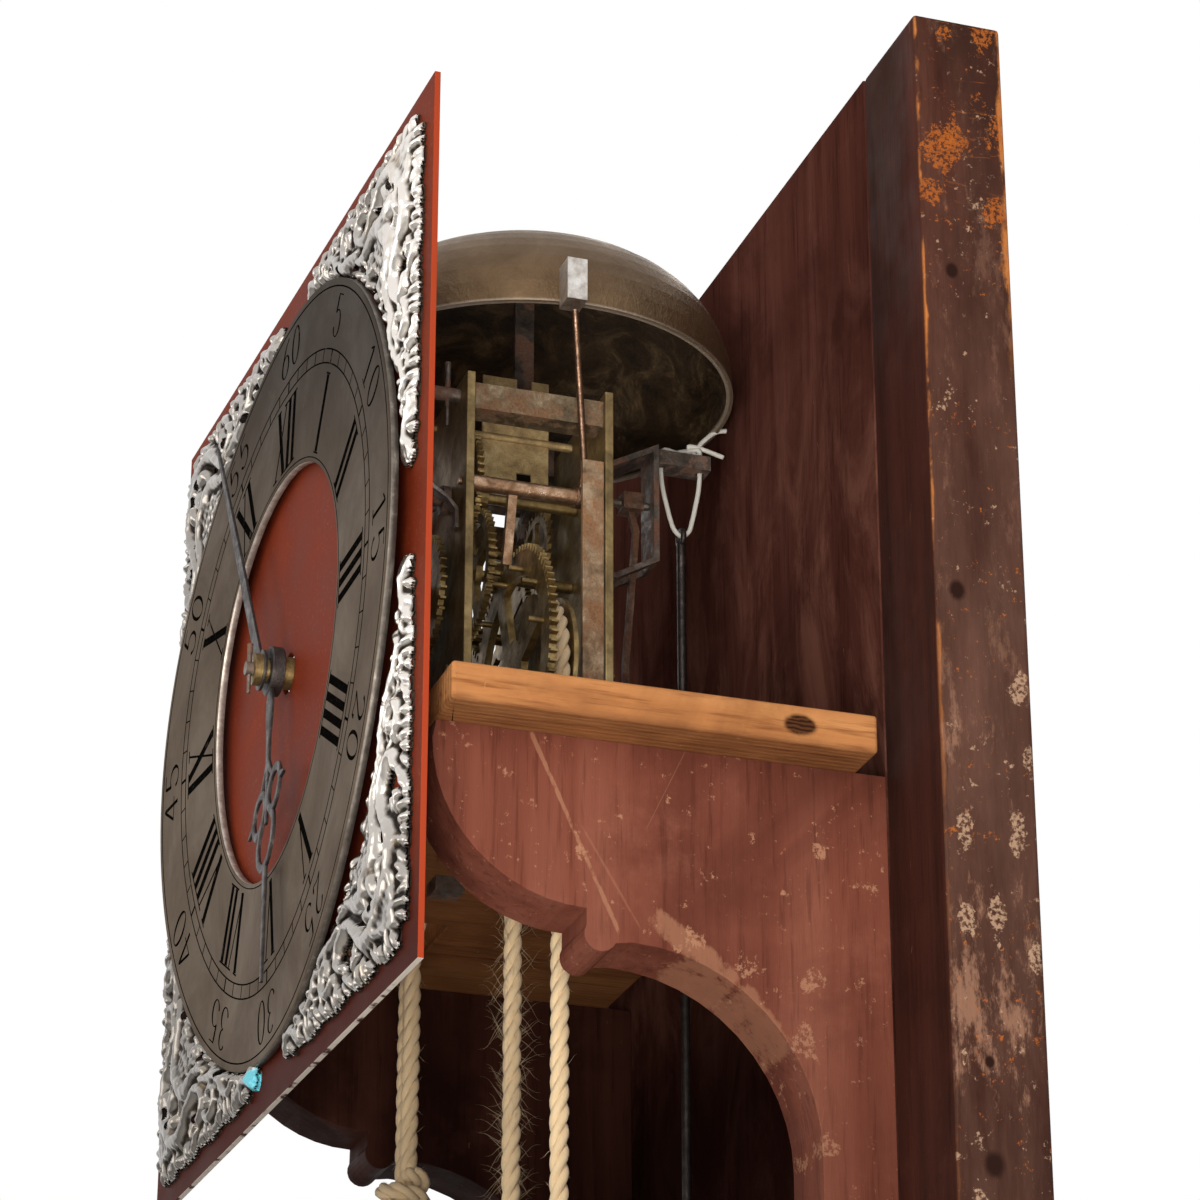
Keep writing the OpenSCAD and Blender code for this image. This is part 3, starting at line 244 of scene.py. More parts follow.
def torn_spots(k, tint, amount, axes, scale, move, spots):
    """Ragged, speckled patches round points: noise pushes each rim in and out and breaks it up inside."""
    for i, (y, z, r) in enumerate(spots):
        at = move(i)
        rag = k.plus(k.noise(scale * 0.3, 4, 0.65, move=at), k.noise(scale, 6, 0.75, move=at))
        patch = k.step(k.plus(k.near(P(0, y, z), r * 1.5, axes), k.calc("MULTIPLY_ADD", rag, 2.2, -2.2)), 0.5, 0.62)
        k.coat(tint, k.times(patch, k.patches(0.42, 0.56, scale * 2.6, 3, 0.7, move=at)), amount)


def ear_wear(k):
    """Orange bare wood along the side's front edge and upper back, pale scuffs, knots and old nail holes."""
    x, y, _ = k.axes()
    rag = k.noise(75, 7, 0.72, (1, 1, 0.35))
    side = k.step(x, 0.1760, 0.1774)
    pale = k.ramp(k.noise(30, 6, 0.7, (1, 1, 0.2), move=(4, 4, 4)),
                  (0.35, (0.035, 0.014, 0.01)), (0.65, (0.16, 0.082, 0.06)))
    k.coat(pale, side, k.rise(140, -20, 0.3, 0.68))
    grime = k.patches(0.42, 0.62, 14, 6, 0.7, (1, 1, 0.5), move=(1, 4, 2))
    k.coat((0.03, 0.014, 0.01), grime, k.calc("MULTIPLY_ADD", k.rise(-20, 130), 0.5, 0.25))

    front = P(0, 160, 0).y
    dents = k.step(k.noise(26, 5, 0.7, (1, 1, 0.5), move=(6, 3, 1)), 0.42, 0.66, 0.0002, 0.0034)
    edge = k.calc("SUBTRACT", y, k.times(rag, dents))
    band = k.times(k.step(edge, front + 0.0006, front - 0.0004), side)
    bare = k.ramp(rag, (0.3, (0.42, 0.13, 0.03)), (0.55, (0.62, 0.22, 0.06)), (0.7, (0.3, 0.1, 0.03)))
    gaps = k.patches(0.4, 0.52, 48, 5, 0.7, (1, 1, 0.5), move=(2, 6, 3))
    k.coat(bare, k.times(band, gaps), k.rise(-120, 40, 0.1, 0.9))
    scratch = k.patches(0.6, 0.66, 150, 5, 0.75, (1, 0.16, 1), distort=0.8, move=(7, 2, 1))
    k.coat((0.4, 0.12, 0.025), k.times(scratch, k.rise(100, 170), side), 0.6)
    back = P(0, 191, 0).y
    rear = k.step(k.plus(y, k.times(rag, 0.012)), back + 0.0035, back + 0.0055)
    k.coat(bare, k.times(rear, side, k.rise(50, 100)), 0.85)
    dust = k.patches(0.53, 0.64, 60, 7, 0.78, (1, 1, 0.35), move=(2, 0, 5))
    k.coat((0.36, 0.19, 0.125), k.times(dust, side), k.calc("MULTIPLY_ADD", k.rise(-20, -100), 0.4, 0.18))

    torn_spots(k, (0.42, 0.27, 0.18), k.times(side, 0.8), (0, 1.7, 0.7), 230, lambda i: (i, 2, 1),
               ((187, -52, 6), (184, -101, 7), (167, -100, 6), (189, -75, 5), (176, -125, 6), (166, -128, 5),
                (188, -140, 5)))
    torn_spots(k, (0.4, 0.11, 0.02), k.times(side, 0.8), (0, 1.2, 1.3), 260, lambda i: (1, i, 3),
               ((186, 184, 9), (190, 148, 10), (168, 137, 12), (173, 143, 9), (186, 116, 7), (164, 120, 8),
                (170, 182, 6)))
    for yy, zz, r in ((167.3, -21.1, 5), (172, -203.9, 6), (171.8, -172.7, 3.2), (170, 92, 4)):
        knot = k.times(k.near(P(0, yy, zz), r, (0, 1, 0.8)), k.plus(rag, 0.5))
        k.coat((0.02, 0.008, 0.006), k.step(knot, 0.2, 0.75), side)
    k.bump(k.times(band, rag), 0.5, 0.002)


def cheek_wear(k):
    """Scratches across the face, bare patches by the strip, and a worn low edge along the arch."""
    rag = k.times(k.noise(210, 7, 0.8, (1, 1, 0.6)),
                  k.noise(55, 5, 0.7, (1, 1, 0.5), move=(3, 3, 3)), 3.6)
    _, y, z = k.axes()
    for start, end, r, strength in (
            ((43, -67), (72, -130), 1.8, 0.85), ((57, -92), (79, -128), 1.0, 0.35), ((98, -58), (80, -96), 0.35, 0.3),
            ((80, -121.7), (110, -141.6), 8.5, 0.75), ((110, -141.6), (126, -162), 7.0, 0.7),
            ((124, -158), (128.5, -176), 3.5, 0.7), ((36, -62), (46, -66), 2.5, 0.5)):
        a = P(0, *start)
        run = P(0, *end) - a
        length = run.length
        dy, dz = run.y / length, run.z / length
        from_y, from_z = k.calc("SUBTRACT", y, a.y), k.calc("SUBTRACT", z, a.z)
        along = k.plus(k.times(from_y, dy), k.times(from_z, dz))
        across = k.plus(k.times(from_y, -dz), k.times(from_z, dy))
        band = k.times(k.step(k.calc("ABSOLUTE", across), r / 1000, r / 9000), k.step(along, -0.005, 0.004),
                       k.step(along, length + 0.005, length - 0.004))
        k.coat((0.36, 0.17, 0.1), k.step(k.times(band, rag), 0.5, 0.78), strength * 0.75)
    torn_spots(k, (0.4, 0.2, 0.12), 0.75, (0, 1, 1), 260, lambda i: (i, 1, 4),
               ((134.6, -137.3, 5), (130.8, -158.4, 5), (95, -128, 5), (137, -95, 3), (112, -136, 5), (138, -190, 5),
                (60, -105, 3)))
    k.coat((0.05, 0.018, 0.014), k.step(k.near(P(0, 128.8, -175.8), 6, (0, 1.2, 0.8)), 0.3, 0.8))
    k.coat((0.06, 0.02, 0.014), k.rise(-100, -190), 0.3)
    k.coat((0.2, 0.07, 0.045), k.patches(0.5, 0.8, 26, 7, 0.75, move=(8, 1, 0)), 0.25)


def board_wear(k):
    """Pale patches beside the movement, stronger lower down, and painted shade on the foot down in the trunk."""
    pale_patches = k.patches(0.42, 0.68, 28, 7, 0.72, (1, 1, 0.45), distort=1.2, move=(2, 5, 7))
    k.coat((0.2, 0.085, 0.062), k.times(k.rise(160, 20), pale_patches), 0.6)
    # painted shade: the board below the seatboard, inside the trunk, darkened almost to black
    k.coat((0.008, 0.0025, 0.0018), k.rise(-50, -130), 0.8)


def seat_wear(k):
    """Sawn end with a knot, and painted shade along the underside."""
    centre = P(0, 124.6, -61.7)
    knot = k.times(k.near(centre, 8.5, (0, 1, 1.5)), k.plus(k.noise(230, 4), 0.4))
    rings = k.node("TexWave", {"Vector": k.place((0, 1, 1.3), move=tuple(-v for v in centre)), "Scale": 170.0,
                               "Distortion": 5.0}, wave_type="RINGS")
    k.coat(k.mix(rings, (0.02, 0.008, 0.004), (0.09, 0.032, 0.013)), k.step(knot, 0.15, 0.5))
    # painted shade: the faces are darkened along the seatboard's underside
    under = P(0, 0, SEAT_UNDER).z
    low = k.step(k.plus(k.axes()[2], k.times(k.noise(50, 4), 0.003)), under + 0.0045, under + 0.001)
    k.coat((0.08, 0.028, 0.014), low, 0.55)
    k.coat((0.14, 0.05, 0.022), k.patches(0.5, 0.72, 22, 6, 0.7, (1, 0.4, 1), move=(3, 3, 9)), 0.5)
    k.bump(k.node("TexWave", {"Vector": k.place((1, 1, 0.2)), "Scale": 120.0, "Distortion": 2.0, "Detail": 2.0}),
           0.25, 0.0005)


def hammer_look():
    """Bright cast head on a copper-brown rod."""
    k = Look("hammer_two_metals", 0.34, 0.9)
    patch = k.noise(240, 6, 0.65)
    pale = k.ramp(patch, (0.3, (0.33, 0.29, 0.26)), (0.52, (0.6, 0.56, 0.52)), (0.76, (0.84, 0.82, 0.78)))
    brown = k.ramp(patch, (0.3, (0.09, 0.05, 0.032)), (0.55, (0.24, 0.14, 0.09)), (0.76, (0.5, 0.36, 0.27)))
    k.colour = k.mix(k.rise(111, 112), brown, pale)
    k.bump(k.noise(1200, 3), 0.4, 0.0004)
    return k.done(k.step(patch, 0.3, 0.75, 0.45, 0.26))


def bell_look():
    """Dark smooth crown outside, mottled tan inside: the two skins are told apart by the bell's own curve."""
    k = Look("bell_bronze", 0.42, 0.8)
    x, y, z = k.axes_from(P(0, 82, 117))
    curve = k.plus(k.calc("POWER", k.calc("DIVIDE", k.reach(x, y), 0.0746), 2.4),
                   k.calc("POWER", k.calc("MAXIMUM", k.calc("DIVIDE", z, 0.05), 0.0), 2.4))
    outside = k.step(curve, 0.955, 0.965)
    patch = k.noise(26, 6, 0.62, distort=0.8)
    crown = k.ramp(patch, (0.3, (0.095, 0.056, 0.028)), (0.55, (0.16, 0.1, 0.052)), (0.8, (0.25, 0.165, 0.09)))
    k.colour = k.ramp(k.noise(55, 7, 0.7, distort=1.4),
                      (0.34, (0.01, 0.006, 0.0025)), (0.52, (0.045, 0.026, 0.011)), (0.72, (0.19, 0.125, 0.06)))
    streaks = k.patches(0.5, 0.62, 18, 5, 0.7, (1, 1, 3), distort=1.5, move=(2, 2, 2))
    k.coat((0.06, 0.038, 0.022), streaks, 0.4)
    k.coat(crown, outside)
    k.coat((0.4, 0.32, 0.24), k.step(z, 0.0012, 0.0002), 0.75)
    k.bump(k.noise(420, 5, 0.75), 0.5, 0.0012)
    k.bump(k.noise(300, 4, 0.7, (1, 1, 0.4)), 0.3, 0.0006)
    return k.done(k.step(patch, 0.3, 0.8, 0.5, 0.36), k.step(outside, 0.0, 1.0, 0.3, 0.8))


def dial_look():
    """Brick red paint with painted shade towards its foot, a painted highlight on its right edge, and a bare pale lower
    edge.
    """
    k = Look("dial_red_paint", 0.6, spec=0.05)
    level = k.place(move=tuple(-v for v in P(0, 0, 0)))
    x, _, z = k.axes(k.place(at=level, turn=(0, 0, -SKEW)))
    patch = k.noise(30, 5, 0.6)
    k.colour = k.ramp(patch, (0.3, (0.12, 0.016, 0.006)), (0.55, (0.158, 0.023, 0.008)), (0.8, (0.2, 0.032, 0.011)))
    k.coat((0.4, 0.16, 0.1), k.patches(0.6, 0.75, 900, 2), 0.25)
    # painted shade: darker towards the foot
    k.coat((0.032, 0.004, 0.002), k.step(z, -0.09, -0.15), 0.9)
    # painted highlight: brighter red on the right edge
    k.coat((0.36, 0.05, 0.018), k.step(x, 0.14988, 0.14996))
    k.coat((0.62, 0.56, 0.5), k.step(z, -0.14988, -0.14996), k.patches(0.36, 0.46, 140, 4))
    k.bump(k.noise(500, 3, stretch=(1, 1, 0.15)), 0.1, 0.0004)
    return k.done(k.step(patch, 0.3, 0.7, 0.5, 0.62))


def ring_look():
    """Dull silvered face with stains, and painted shade towards its top right."""
    k = Look("ring_pewter", 0.6, 0.25, 0.05)
    x, _, z = k.axes_from(P(0, 0, 0))
    patch = k.noise(22, 6, 0.65, distort=0.5)
    k.colour = k.ramp(patch, (0.28, (0.062, 0.043, 0.029)), (0.52, (0.097, 0.07, 0.049)),
                      (0.8, (0.138, 0.103, 0.074)))
    # painted shade: darker towards the top right
    k.coat((0.024, 0.016, 0.01), k.step(k.plus(k.times(x, 0.4), z), 0.02, 0.13), 0.9)
    k.coat((0.075, 0.06, 0.045), k.patches(0.6, 0.7, 75, 6, 0.7, move=(4, 4, 1)), 0.35)
    k.bump(k.noise(700, 3, 0.6, (1, 1, 0.3)), 0.2, 0.0003)
    return k.done(k.step(patch, 0.3, 0.8, 0.66, 0.5))


def edge_look():
    """The ring's cut edges: bright and speckled round the middle, dull round the outside."""
    k = Look("ring_cut_edge", 0.4, 0.5)
    x, _, z = k.axes_from(P(0, 0, 0))
    patch = k.noise(260, 6, 0.7)
    pale = k.ramp(patch, (0.3, (0.22, 0.18, 0.155)), (0.55, (0.46, 0.41, 0.37)), (0.75, (0.7, 0.66, 0.62)))
    dull = k.ramp(patch, (0.3, (0.06, 0.05, 0.042)), (0.6, (0.13, 0.112, 0.098)), (0.75, (0.3, 0.27, 0.24)))
    k.colour = k.mix(k.step(k.reach(x, z), 0.1, 0.12), pale, dull)
    k.bump(k.noise(900, 2, stretch=(0.1, 1, 0.1)), 0.2, 0.0003)
    return k.done(0.4)


def figure_look():
    """Old black wax in the cuts, with grey worn specks."""
    k = Look("figure_wax", 0.7, spec=0.0)
    grit = k.noise(900, 3, 0.7)
    k.colour = k.ramp(grit, (0.38, (0.002, 0.0018, 0.0015)), (0.62, (0.005, 0.0045, 0.004)),
                      (0.75, (0.03, 0.025, 0.02)))
    k.coat((0.1, 0.08, 0.065), k.patches(0.62, 0.72, 120, 5, 0.7), 0.6)
    k.bump(grit, 0.4, 0.0003)
    return k.done()


def cast_look():
    """Bright cast metal with painted shade in its hollows and towards the lower left, a painted highlight on the
    castings at the right, and a blue smear on one tip; its map holds hollow and height.
    """
    k = Look("cast_silver", 0.3, 0.95)
    hollow = k.axes(k.uv)[0]
    # painted shade: the hollows are darkened to near black, their edge broken up by noise
    shade_noise = k.calc("SUBTRACT", k.noise(150, 5, 0.7), 0.5)
    sunk_shade = k.step(k.plus(hollow, k.times(shade_noise, 0.5)), 0.22, 0.66)
    k.colour = k.ramp(sunk_shade, (0.0, (0.46, 0.425, 0.39)), (0.3, (0.2, 0.175, 0.155)), (0.8, (0.014, 0.01, 0.008)))
    x, _, z = k.axes_from(P(0, 0, 0))
    # painted shade towards the lower left, by position
    shade = k.step(k.plus(k.times(x, 0.7), k.times(z, 0.5)), 0.07, -0.14)
    k.coat(k.mix(0.8, k.colour, (0.05, 0.04, 0.03)), shade, 0.6)
    # painted highlight: a paler copy of the colour on the castings at the right
    k.coat(k.ramp(sunk_shade, (0.0, (0.86, 0.8, 0.74)), (0.45, (0.42, 0.38, 0.34)), (1.0, (0.03, 0.022, 0.016))),
           k.step(x, 0.1, 0.125), k.step(z, -0.12, -0.06))
    k.coat((0.5, 0.38, 0.24), k.patches(0.6, 0.72, 60, 4, move=(3, 3, 3)), 0.35)
    smear = k.times(k.near(D(-18, -4, -138), 9.5, (0.8, 0.6, 1.2)), k.noise(420, 3))
    blue = k.step(smear, 0.22, 0.3)
    k.coat((0.1, 0.5, 0.62), blue)
    k.bump(k.noise(200, 2, 0.5), 0.2, 0.0009)
    return k.done(k.step(sunk_shade, 0.0, 1.0, 0.22, 0.55), k.step(blue, 0.0, 1.0, 0.95, 0.1))


def fibre_look(name, pale, deep, twist, sheen=0.3):
    """Twisted fibre: yarn lines run at a slant over each strand's own u (round) and v (along, in metres)."""
    k = Look(name, 0.85, spec=0.2, sheen=sheen)
    u, v, _ = k.axes(k.uv)
    slant = k.node("CombineXYZ", {"X": k.plus(k.times(u, 5.0), k.times(v, twist))})
    yarn = k.node("TexNoise", {"Vector": slant, "Scale": 6.0, "Detail": 3.0, "Roughness": 0.6})
    k.colour = k.ramp(yarn, (0.3, deep), (0.6, pale))
    k.coat(deep, k.patches(0.5, 0.75, 130, 4, 0.6), 0.2)
    k.bump(yarn, 0.5, 0.0005)
    k.bump(k.noise(2200, 2, stretch=(1, 1, 0.35)), 0.4, 0.0003)
    return k.done()


MAROON = ((0.032, 0.0105, 0.008), (0.078, 0.026, 0.019), (0.14, 0.055, 0.042))
MAUVE = ((0.085, 0.024, 0.016), (0.185, 0.056, 0.036), (0.27, 0.1, 0.066))
case_wood = wood("case_stain", (0.05, 0.016, 0.011), (0.12, 0.038, 0.025), (0.19, 0.066, 0.045))
rail_wood = wood("case_stain_across", (0.04, 0.013, 0.009), (0.1, 0.032, 0.021), (0.17, 0.058, 0.04), grain="x")
brass = metal("brass_old", (0.27, 0.185, 0.075), (0.075, 0.048, 0.02), (0.5, 0.37, 0.17), 0.4, 120)
plate_brass = metal("brass_plate", (0.27, 0.19, 0.085), (0.1, 0.07, 0.034), (0.48, 0.37, 0.18), 0.48,
                    60, brushed=(1, 1, 0.05))
fly_brass = metal("brass_sheet", (0.48, 0.34, 0.16), (0.24, 0.16, 0.075), (0.68, 0.53, 0.29), 0.5, 150,
                  pit=0.6, metallic=0.6)
iron = metal("iron_old", (0.17, 0.14, 0.12), (0.05, 0.04, 0.035), (0.3, 0.26, 0.23), 0.5, 160,
             rust=(0.11, 0.055, 0.035))
pillar_iron = metal("iron_filed", (0.25, 0.19, 0.12), (0.08, 0.055, 0.033), (0.44, 0.36, 0.25), 0.46,
                    130, rust=(0.13, 0.068, 0.034), brushed=(1, 0.05, 1))
spring_iron = metal("iron_brown_rust", (0.31, 0.21, 0.125), (0.11, 0.062, 0.035), (0.54, 0.41, 0.28), 0.5,
                    150, rust=(0.17, 0.085, 0.04), metallic=0.6, brushed=(1, 1, 0.08))
copper_steel = metal("steel_copper_tint", (0.36, 0.215, 0.125), (0.12, 0.062, 0.035), (0.72, 0.52, 0.38),
                     0.32, 220, brushed=(1, 0.05, 1))
dark_steel = metal("steel_dark", (0.055, 0.046, 0.044), (0.025, 0.02, 0.02), (0.12, 0.1, 0.095), 0.42,
                   200, pit=0.5)
crust_iron = metal("iron_brown_crust", (0.15, 0.085, 0.055), (0.06, 0.03, 0.02), (0.28, 0.18, 0.13), 0.6,
                   260, rust=(0.11, 0.045, 0.024), metallic=0.5)
weight_iron = metal("weight_dull", (0.2, 0.19, 0.175), (0.1, 0.095, 0.09), (0.33, 0.31, 0.29), 0.55,
                    40, metallic=0.7)
rope_fibre = fibre_look("rope_fibre", (0.95, 0.76, 0.5), (0.74, 0.5, 0.26), 900)
hair_fibre = fibre_look("rope_hair", (0.8, 0.64, 0.42), (0.55, 0.38, 0.2), 500)
cord_fibre = fibre_look("cord_fibre", (0.84, 0.83, 0.78), (0.55, 0.52, 0.46), 2400, sheen=0.15)


# ---------------- mesh helpers
class Shape:
    """Verts, faces, uvs and material indices that grow as parts are added."""

    def __init__(self):
        self.verts, self.faces, self.uvs, self.indices = [], [], [], []

    def grow(self, verts, faces, uvs=None, index=0):
        base = len(self.verts)
        self.verts.extend(verts)
        self.faces.extend([tuple(base + i for i in f) for f in faces])
        self.uvs.extend(uvs if uvs is not None else [(0.0, 0.0)] * len(verts))
        self.indices.extend([index] * len(faces))

    def loft(self, verts, sides, uvs=None, flip=False):
        """Closed skin over rings of so many sides, capped at both ends."""
        last = len(verts) - sides
        faces = []
        for i in range(0, last, sides):
            for k in range(sides):
                j = (k + 1) % sides
                faces.append((i + k, i + j, i + sides + j, i + sides + k))
        faces += [tuple(range(sides - 1, -1, -1)), tuple(range(last, last + sides))]
        self.grow(verts, [f[:1] + f[:0:-1] for f in faces] if flip else faces, uvs)

    def piece(self, name, *mats, body="case", slot=None, replaces=(), smooth=True):
        """Make the piece, and say what it rides on and stands for."""
        mesh = bpy.data.meshes.new(name)
        mesh.from_pydata([tuple(v) for v in self.verts], [], self.faces)
        mesh.validate()
        for mat in mats:
            mesh.materials.append(mat)
        mesh.polygons.foreach_set("use_smooth", [smooth] * len(mesh.polygons))
        mesh.polygons.foreach_set("material_index", self.indices)
        corners = np.empty(len(mesh.loops), np.int32)
        mesh.loops.foreach_get("vertex_index", corners)
        layer = mesh.uv_layers.new(name="along")
        layer.data.foreach_set("uv", np.array(self.uvs, np.float32)[corners].ravel())
        mesh.update()
        piece = bpy.data.objects.new(name, mesh)
        bpy.context.scene.collection.objects.link(piece)
        if body:
            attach(piece, body)
        if replaces:
            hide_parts(*replaces)
        return piece


def polar(x, y, r, a):
    return x + r * cos(a), y + r * sin(a)


def circle(n, start=0):
    """Angles once round, from the start's step to the closing one."""
    return [TAU * i / n for i in range(start, n + 1)]


def arc(cx, cy, rx, ry, a0, a1, n=14):
    """Points along part of an ellipse; angles in degrees."""
    angles = [radians(a0 + (a1 - a0) * i / n) for i in range(n + 1)]
    return [(cx + rx * cos(a), cy + ry * sin(a)) for a in angles]


def heading(line, i):
    """Unit direction of a flat line at its point i."""
    a, b = line[max(i - 1, 0)], line[min(i + 1, len(line) - 1)]
    d = dist(a, b) or 1
    return (b[0] - a[0]) / d, (b[1] - a[1]) / d


def smooth_path(points, gap):
    """Catmull-Rom line through points, resampled about every gap metres."""
    pts = [Vector(p) for p in points]
    pts = [pts[0] * 2 - pts[1]] + pts + [pts[-1] * 2 - pts[-2]]
    out = []
    for a, b, c, d in zip(pts, pts[1:], pts[2:], pts[3:]):
        n = max(1, round((c - b).length / gap))
        for i in range(n):
            t = i / n
            out.append(0.5 * (2 * b + (c - a) * t + (2 * a - 5 * b + 4 * c - d) * t ** 2
                              + (3 * b - a - 3 * c + d) * t ** 3))
    return out + [pts[-2]]


def frames(path):
    """Tangent, side and up at each point, turned as little as can be."""
    out = []
    side = None
    for i in range(len(path)):
        t = (path[min(i + 1, len(path) - 1)] - path[max(i - 1, 0)]).normalized()
        if side is None:
            side = t.cross(Vector((0, 0, 1)) if abs(t.z) < 0.9 else Vector((0, 1, 0))).normalized()
        side = (side - t * side.dot(t)).normalized()
        out.append((t, side, t.cross(side)))
    return out


def lengths(path):
    """How far along the path each point is."""
    along = [0.0]
    for a, b in zip(path, path[1:]):
        along.append(along[-1] + (b - a).length)
    return along


def tube(shape, path, radius, sides):
    """Closed tube along a path; radius may be a function of 0..1."""
    verts, uvs = [], []
    for i, (p, d, (_, side, top)) in enumerate(zip(path, lengths(path), frames(path))):
        r = radius(i / (len(path) - 1)) if callable(radius) else radius
        for k in range(sides):
            a = TAU * k / sides
            verts.append(p + (side * cos(a) + top * sin(a)) * r)
            uvs.append((k / sides, d))
    shape.loft(verts, sides, uvs)


# ---------------- cords and ropes
ROPE_R = 3.1 / 1000
LAY = 0.0195
ROPE_GAP = 0.0014
STRAND_R, STRAND_OFFSET = 1.56 / 1000, 1.58 / 1000
HAIR_R = 0.00006
GREAT_X, GREAT_Z, RUN_R = 43.0, -9.5, 25.0
GOING_Y, STRIKE_Y = 63.0, 74.5
WEIGHT_TOP = -430.0
KNOT_Z = -158
STRIKE_END = -470


def rope(shape, path, phase=0.0):
    """Three strands laid round each other."""
    for s in range(3):
        line = []
        for p, d, (_, side, top) in zip(path, lengths(path), frames(path)):
            a = phase + TAU * (d / LAY + s / 3)
            wob = 1 + 0.04 * sin(d * 310 + s * 2) + 0.03 * sin(d * 127 + s)
            line.append(p + (side * cos(a) + top * sin(a)) * STRAND_OFFSET * wob)
        tube(shape, line, STRAND_R, 9)


def hairs(shape, path, count, longest):
    """Loose hairs that stand out of a rope."""
    fr = frames(path)
    for _ in range(count):
        i = random.randrange(2, len(path) - 2)
        t, side, top = fr[i]
        a = random.uniform(0, TAU)
        out = side * cos(a) + top * sin(a)
        reach = longest * random.uniform(0.25, 1) ** 1.5
        bend = t * random.choice((-1, 1)) * reach * random.uniform(0.4, 1.3)
        root = path[i] + out * ROPE_R * 0.85
        curl = out.cross(t) * random.uniform(-1, 1) * reach * 0.6
        line = [root, root + out * reach * 0.35 + bend * 0.4, root + out * reach * 0.7 + bend * 0.9 + curl * 0.5,
                root + out * reach + bend + curl]
        tube(shape, smooth_path(line, reach / 6), lambda q: HAIR_R * (1.1 - q), 3)


def taut_side(name, x, y, wheel_x, a0, a1, n):
    """The loaded side: it stretches with its weight, from the wheel down. Gives where it leaves the wheel."""
    low, high = P(x, y, WEIGHT_TOP + 10), P(x, y, GREAT_Z)
    over = [P(px, y, pz) for px, pz in arc(wheel_x, GREAT_Z, RUN_R, RUN_R, a0, a1, n)]
    path = smooth_path([low.lerp(high, i / 40) for i in range(41)] + over[1:], ROPE_GAP)
    shape = Shape()
    rope(shape, path)
    hairs(shape, path, 150, 0.0035)
    piece = shape.piece(name + "_rope_taut", rope_fibre, hair_fibre, body=None, slot="rope",
                        replaces=[name + "_rope"])
    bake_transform(piece)
    return over[-1]


def slack_side(name, line, knot_points, count, longest):
    """The free side, ended in a knot."""
    knot_line = smooth_path([line[-1]] + knot_points, ROPE_GAP)
    for part, path, phase in (("slack", line, 1.0), ("knot", knot_line, 2.0)):
        shape = Shape()
        rope(shape, path, phase)
        shape.piece(name + "_rope_" + part, rope_fibre, slot="rope")
    shape = Shape()
    hairs(shape, line, count, longest)
    hairs(shape, knot_line, 60, 0.004)
    loose = shape.piece(name + "_rope_hairs", hair_fibre, slot="rope")


def going_rope():
    """Its slack side is drawn in beside the taut side, and knotted to it."""
    x, y = -GREAT_X - RUN_R, GOING_Y
    slack_x, leave_z = x + 6.5, SEAT_UNDER - 2
    dx, dz = -GREAT_X - slack_x, GREAT_Z - leave_z
    leave_angle = degrees(atan2(dz, dx) - asin(RUN_R / hypot(dx, dz))) - 90
    start = taut_side("going", x, y, -GREAT_X, 180, leave_angle, 26)
    line = smooth_path([start, start.lerp(P(slack_x, y, leave_z), 0.5), P(slack_x + 1.2, y, leave_z + 2),
                        P(slack_x, y, leave_z - 6), P(slack_x + 0.3, y, -100), P(slack_x, y, -130),
                        P(slack_x, y, KNOT_Z + 8)], ROPE_GAP)
    wraps = [P(x + 6.6 * cos(a), y + 6.6 * sin(a), KNOT_Z + 7 - 6.9 * a / TAU)
             for a in [TAU * i / 14 for i in range(29)]]
    tail = [P(slack_x + 0.5, y, KNOT_Z - 12), P(slack_x + 1.5, y + 1, KNOT_Z - 30), P(slack_x + 0.5, y, KNOT_Z - 58)]
    slack_side("going", line, wraps + tail, 120, 0.0035)


def strike_rope():
    taut_side("strike", GREAT_X + RUN_R, STRIKE_Y, GREAT_X, 0, 180, 24)
    x, y = GREAT_X - RUN_R, STRIKE_Y
    line = smooth_path([P(x, y, GREAT_Z - 40 * i) for i in range(12)] + [P(x, y, STRIKE_END)], ROPE_GAP)
    knot = [P(x + 3.6 * sin(2 * a), y + 3.6 * cos(a) - 3.6,
              STRIKE_END - 2 - 10 * a / TAU + 3.4 * sin(3 * a)) for a in circle(16, 1)[:-1]]
    slack_side("strike", line, knot + [P(x, y, STRIKE_END - 17)], 1500, 0.009)


def suspension():
    """White cord doubled through the tongue: a hanging loop, a knot on top and two short ends."""
    x = -3.0
    r = 0.85 / 1000
    hanging = ((135.0, 106.4), (134.9, 99), (135.5, 92), (137.2, 84.5), (138.4, 79.8), (139.7, 76.3), (142.4, 74.0),
               (145.3, 76.2), (146.6, 80.5), (147.8, 86), (149.1, 93), (149.6, 99), (149.6, 106.4))
    loop = smooth_path([P(x, y, z) for y, z in hanging], 0.0009)
    shape = Shape()
    tube(shape, loop, r, 10)
    cord = shape.piece("suspension_loop", cord_fibre, body="pendulum", slot="cord", replaces=["suspension_cord"])
    knot = [P(-4.2 + 1.6 * sin(a) + 0.9 * sin(2 * a), 148.0 + 1.5 * cos(a) - 1.3 * cos(2 * a),
              107.6 + 1.4 * sin(3 * a)) for a in circle(24)]
    shape = Shape()
    for line in ([loop[0], P(x, 137, 107.6), P(x - 0.6, 142, 107.2)] + knot[2:-2],
                 [loop[-1], P(x - 0.4, 149.8, 108.2), knot[3]],
                 [knot[5], P(x, 149.6, 110.8), P(x, 152, 114.0), P(x, 156, 117.6), P(x, 161, 119)],
                 [knot[9], P(x, 145.5, 110.2), P(x, 149, 110.2), P(x, 153.6, 109.2), P(x, 158.8, 107.9)],
                 [knot[15], P(x - 1, 145.4, 108.6), P(x - 0.6, 140.2, 106.9)]):
        tube(shape, smooth_path(line, 0.0008), r, 10)
    ends = shape.piece("suspension_knot", cord_fibre, body="case", slot="cord")


going_rope()
strike_rope()
suspension()

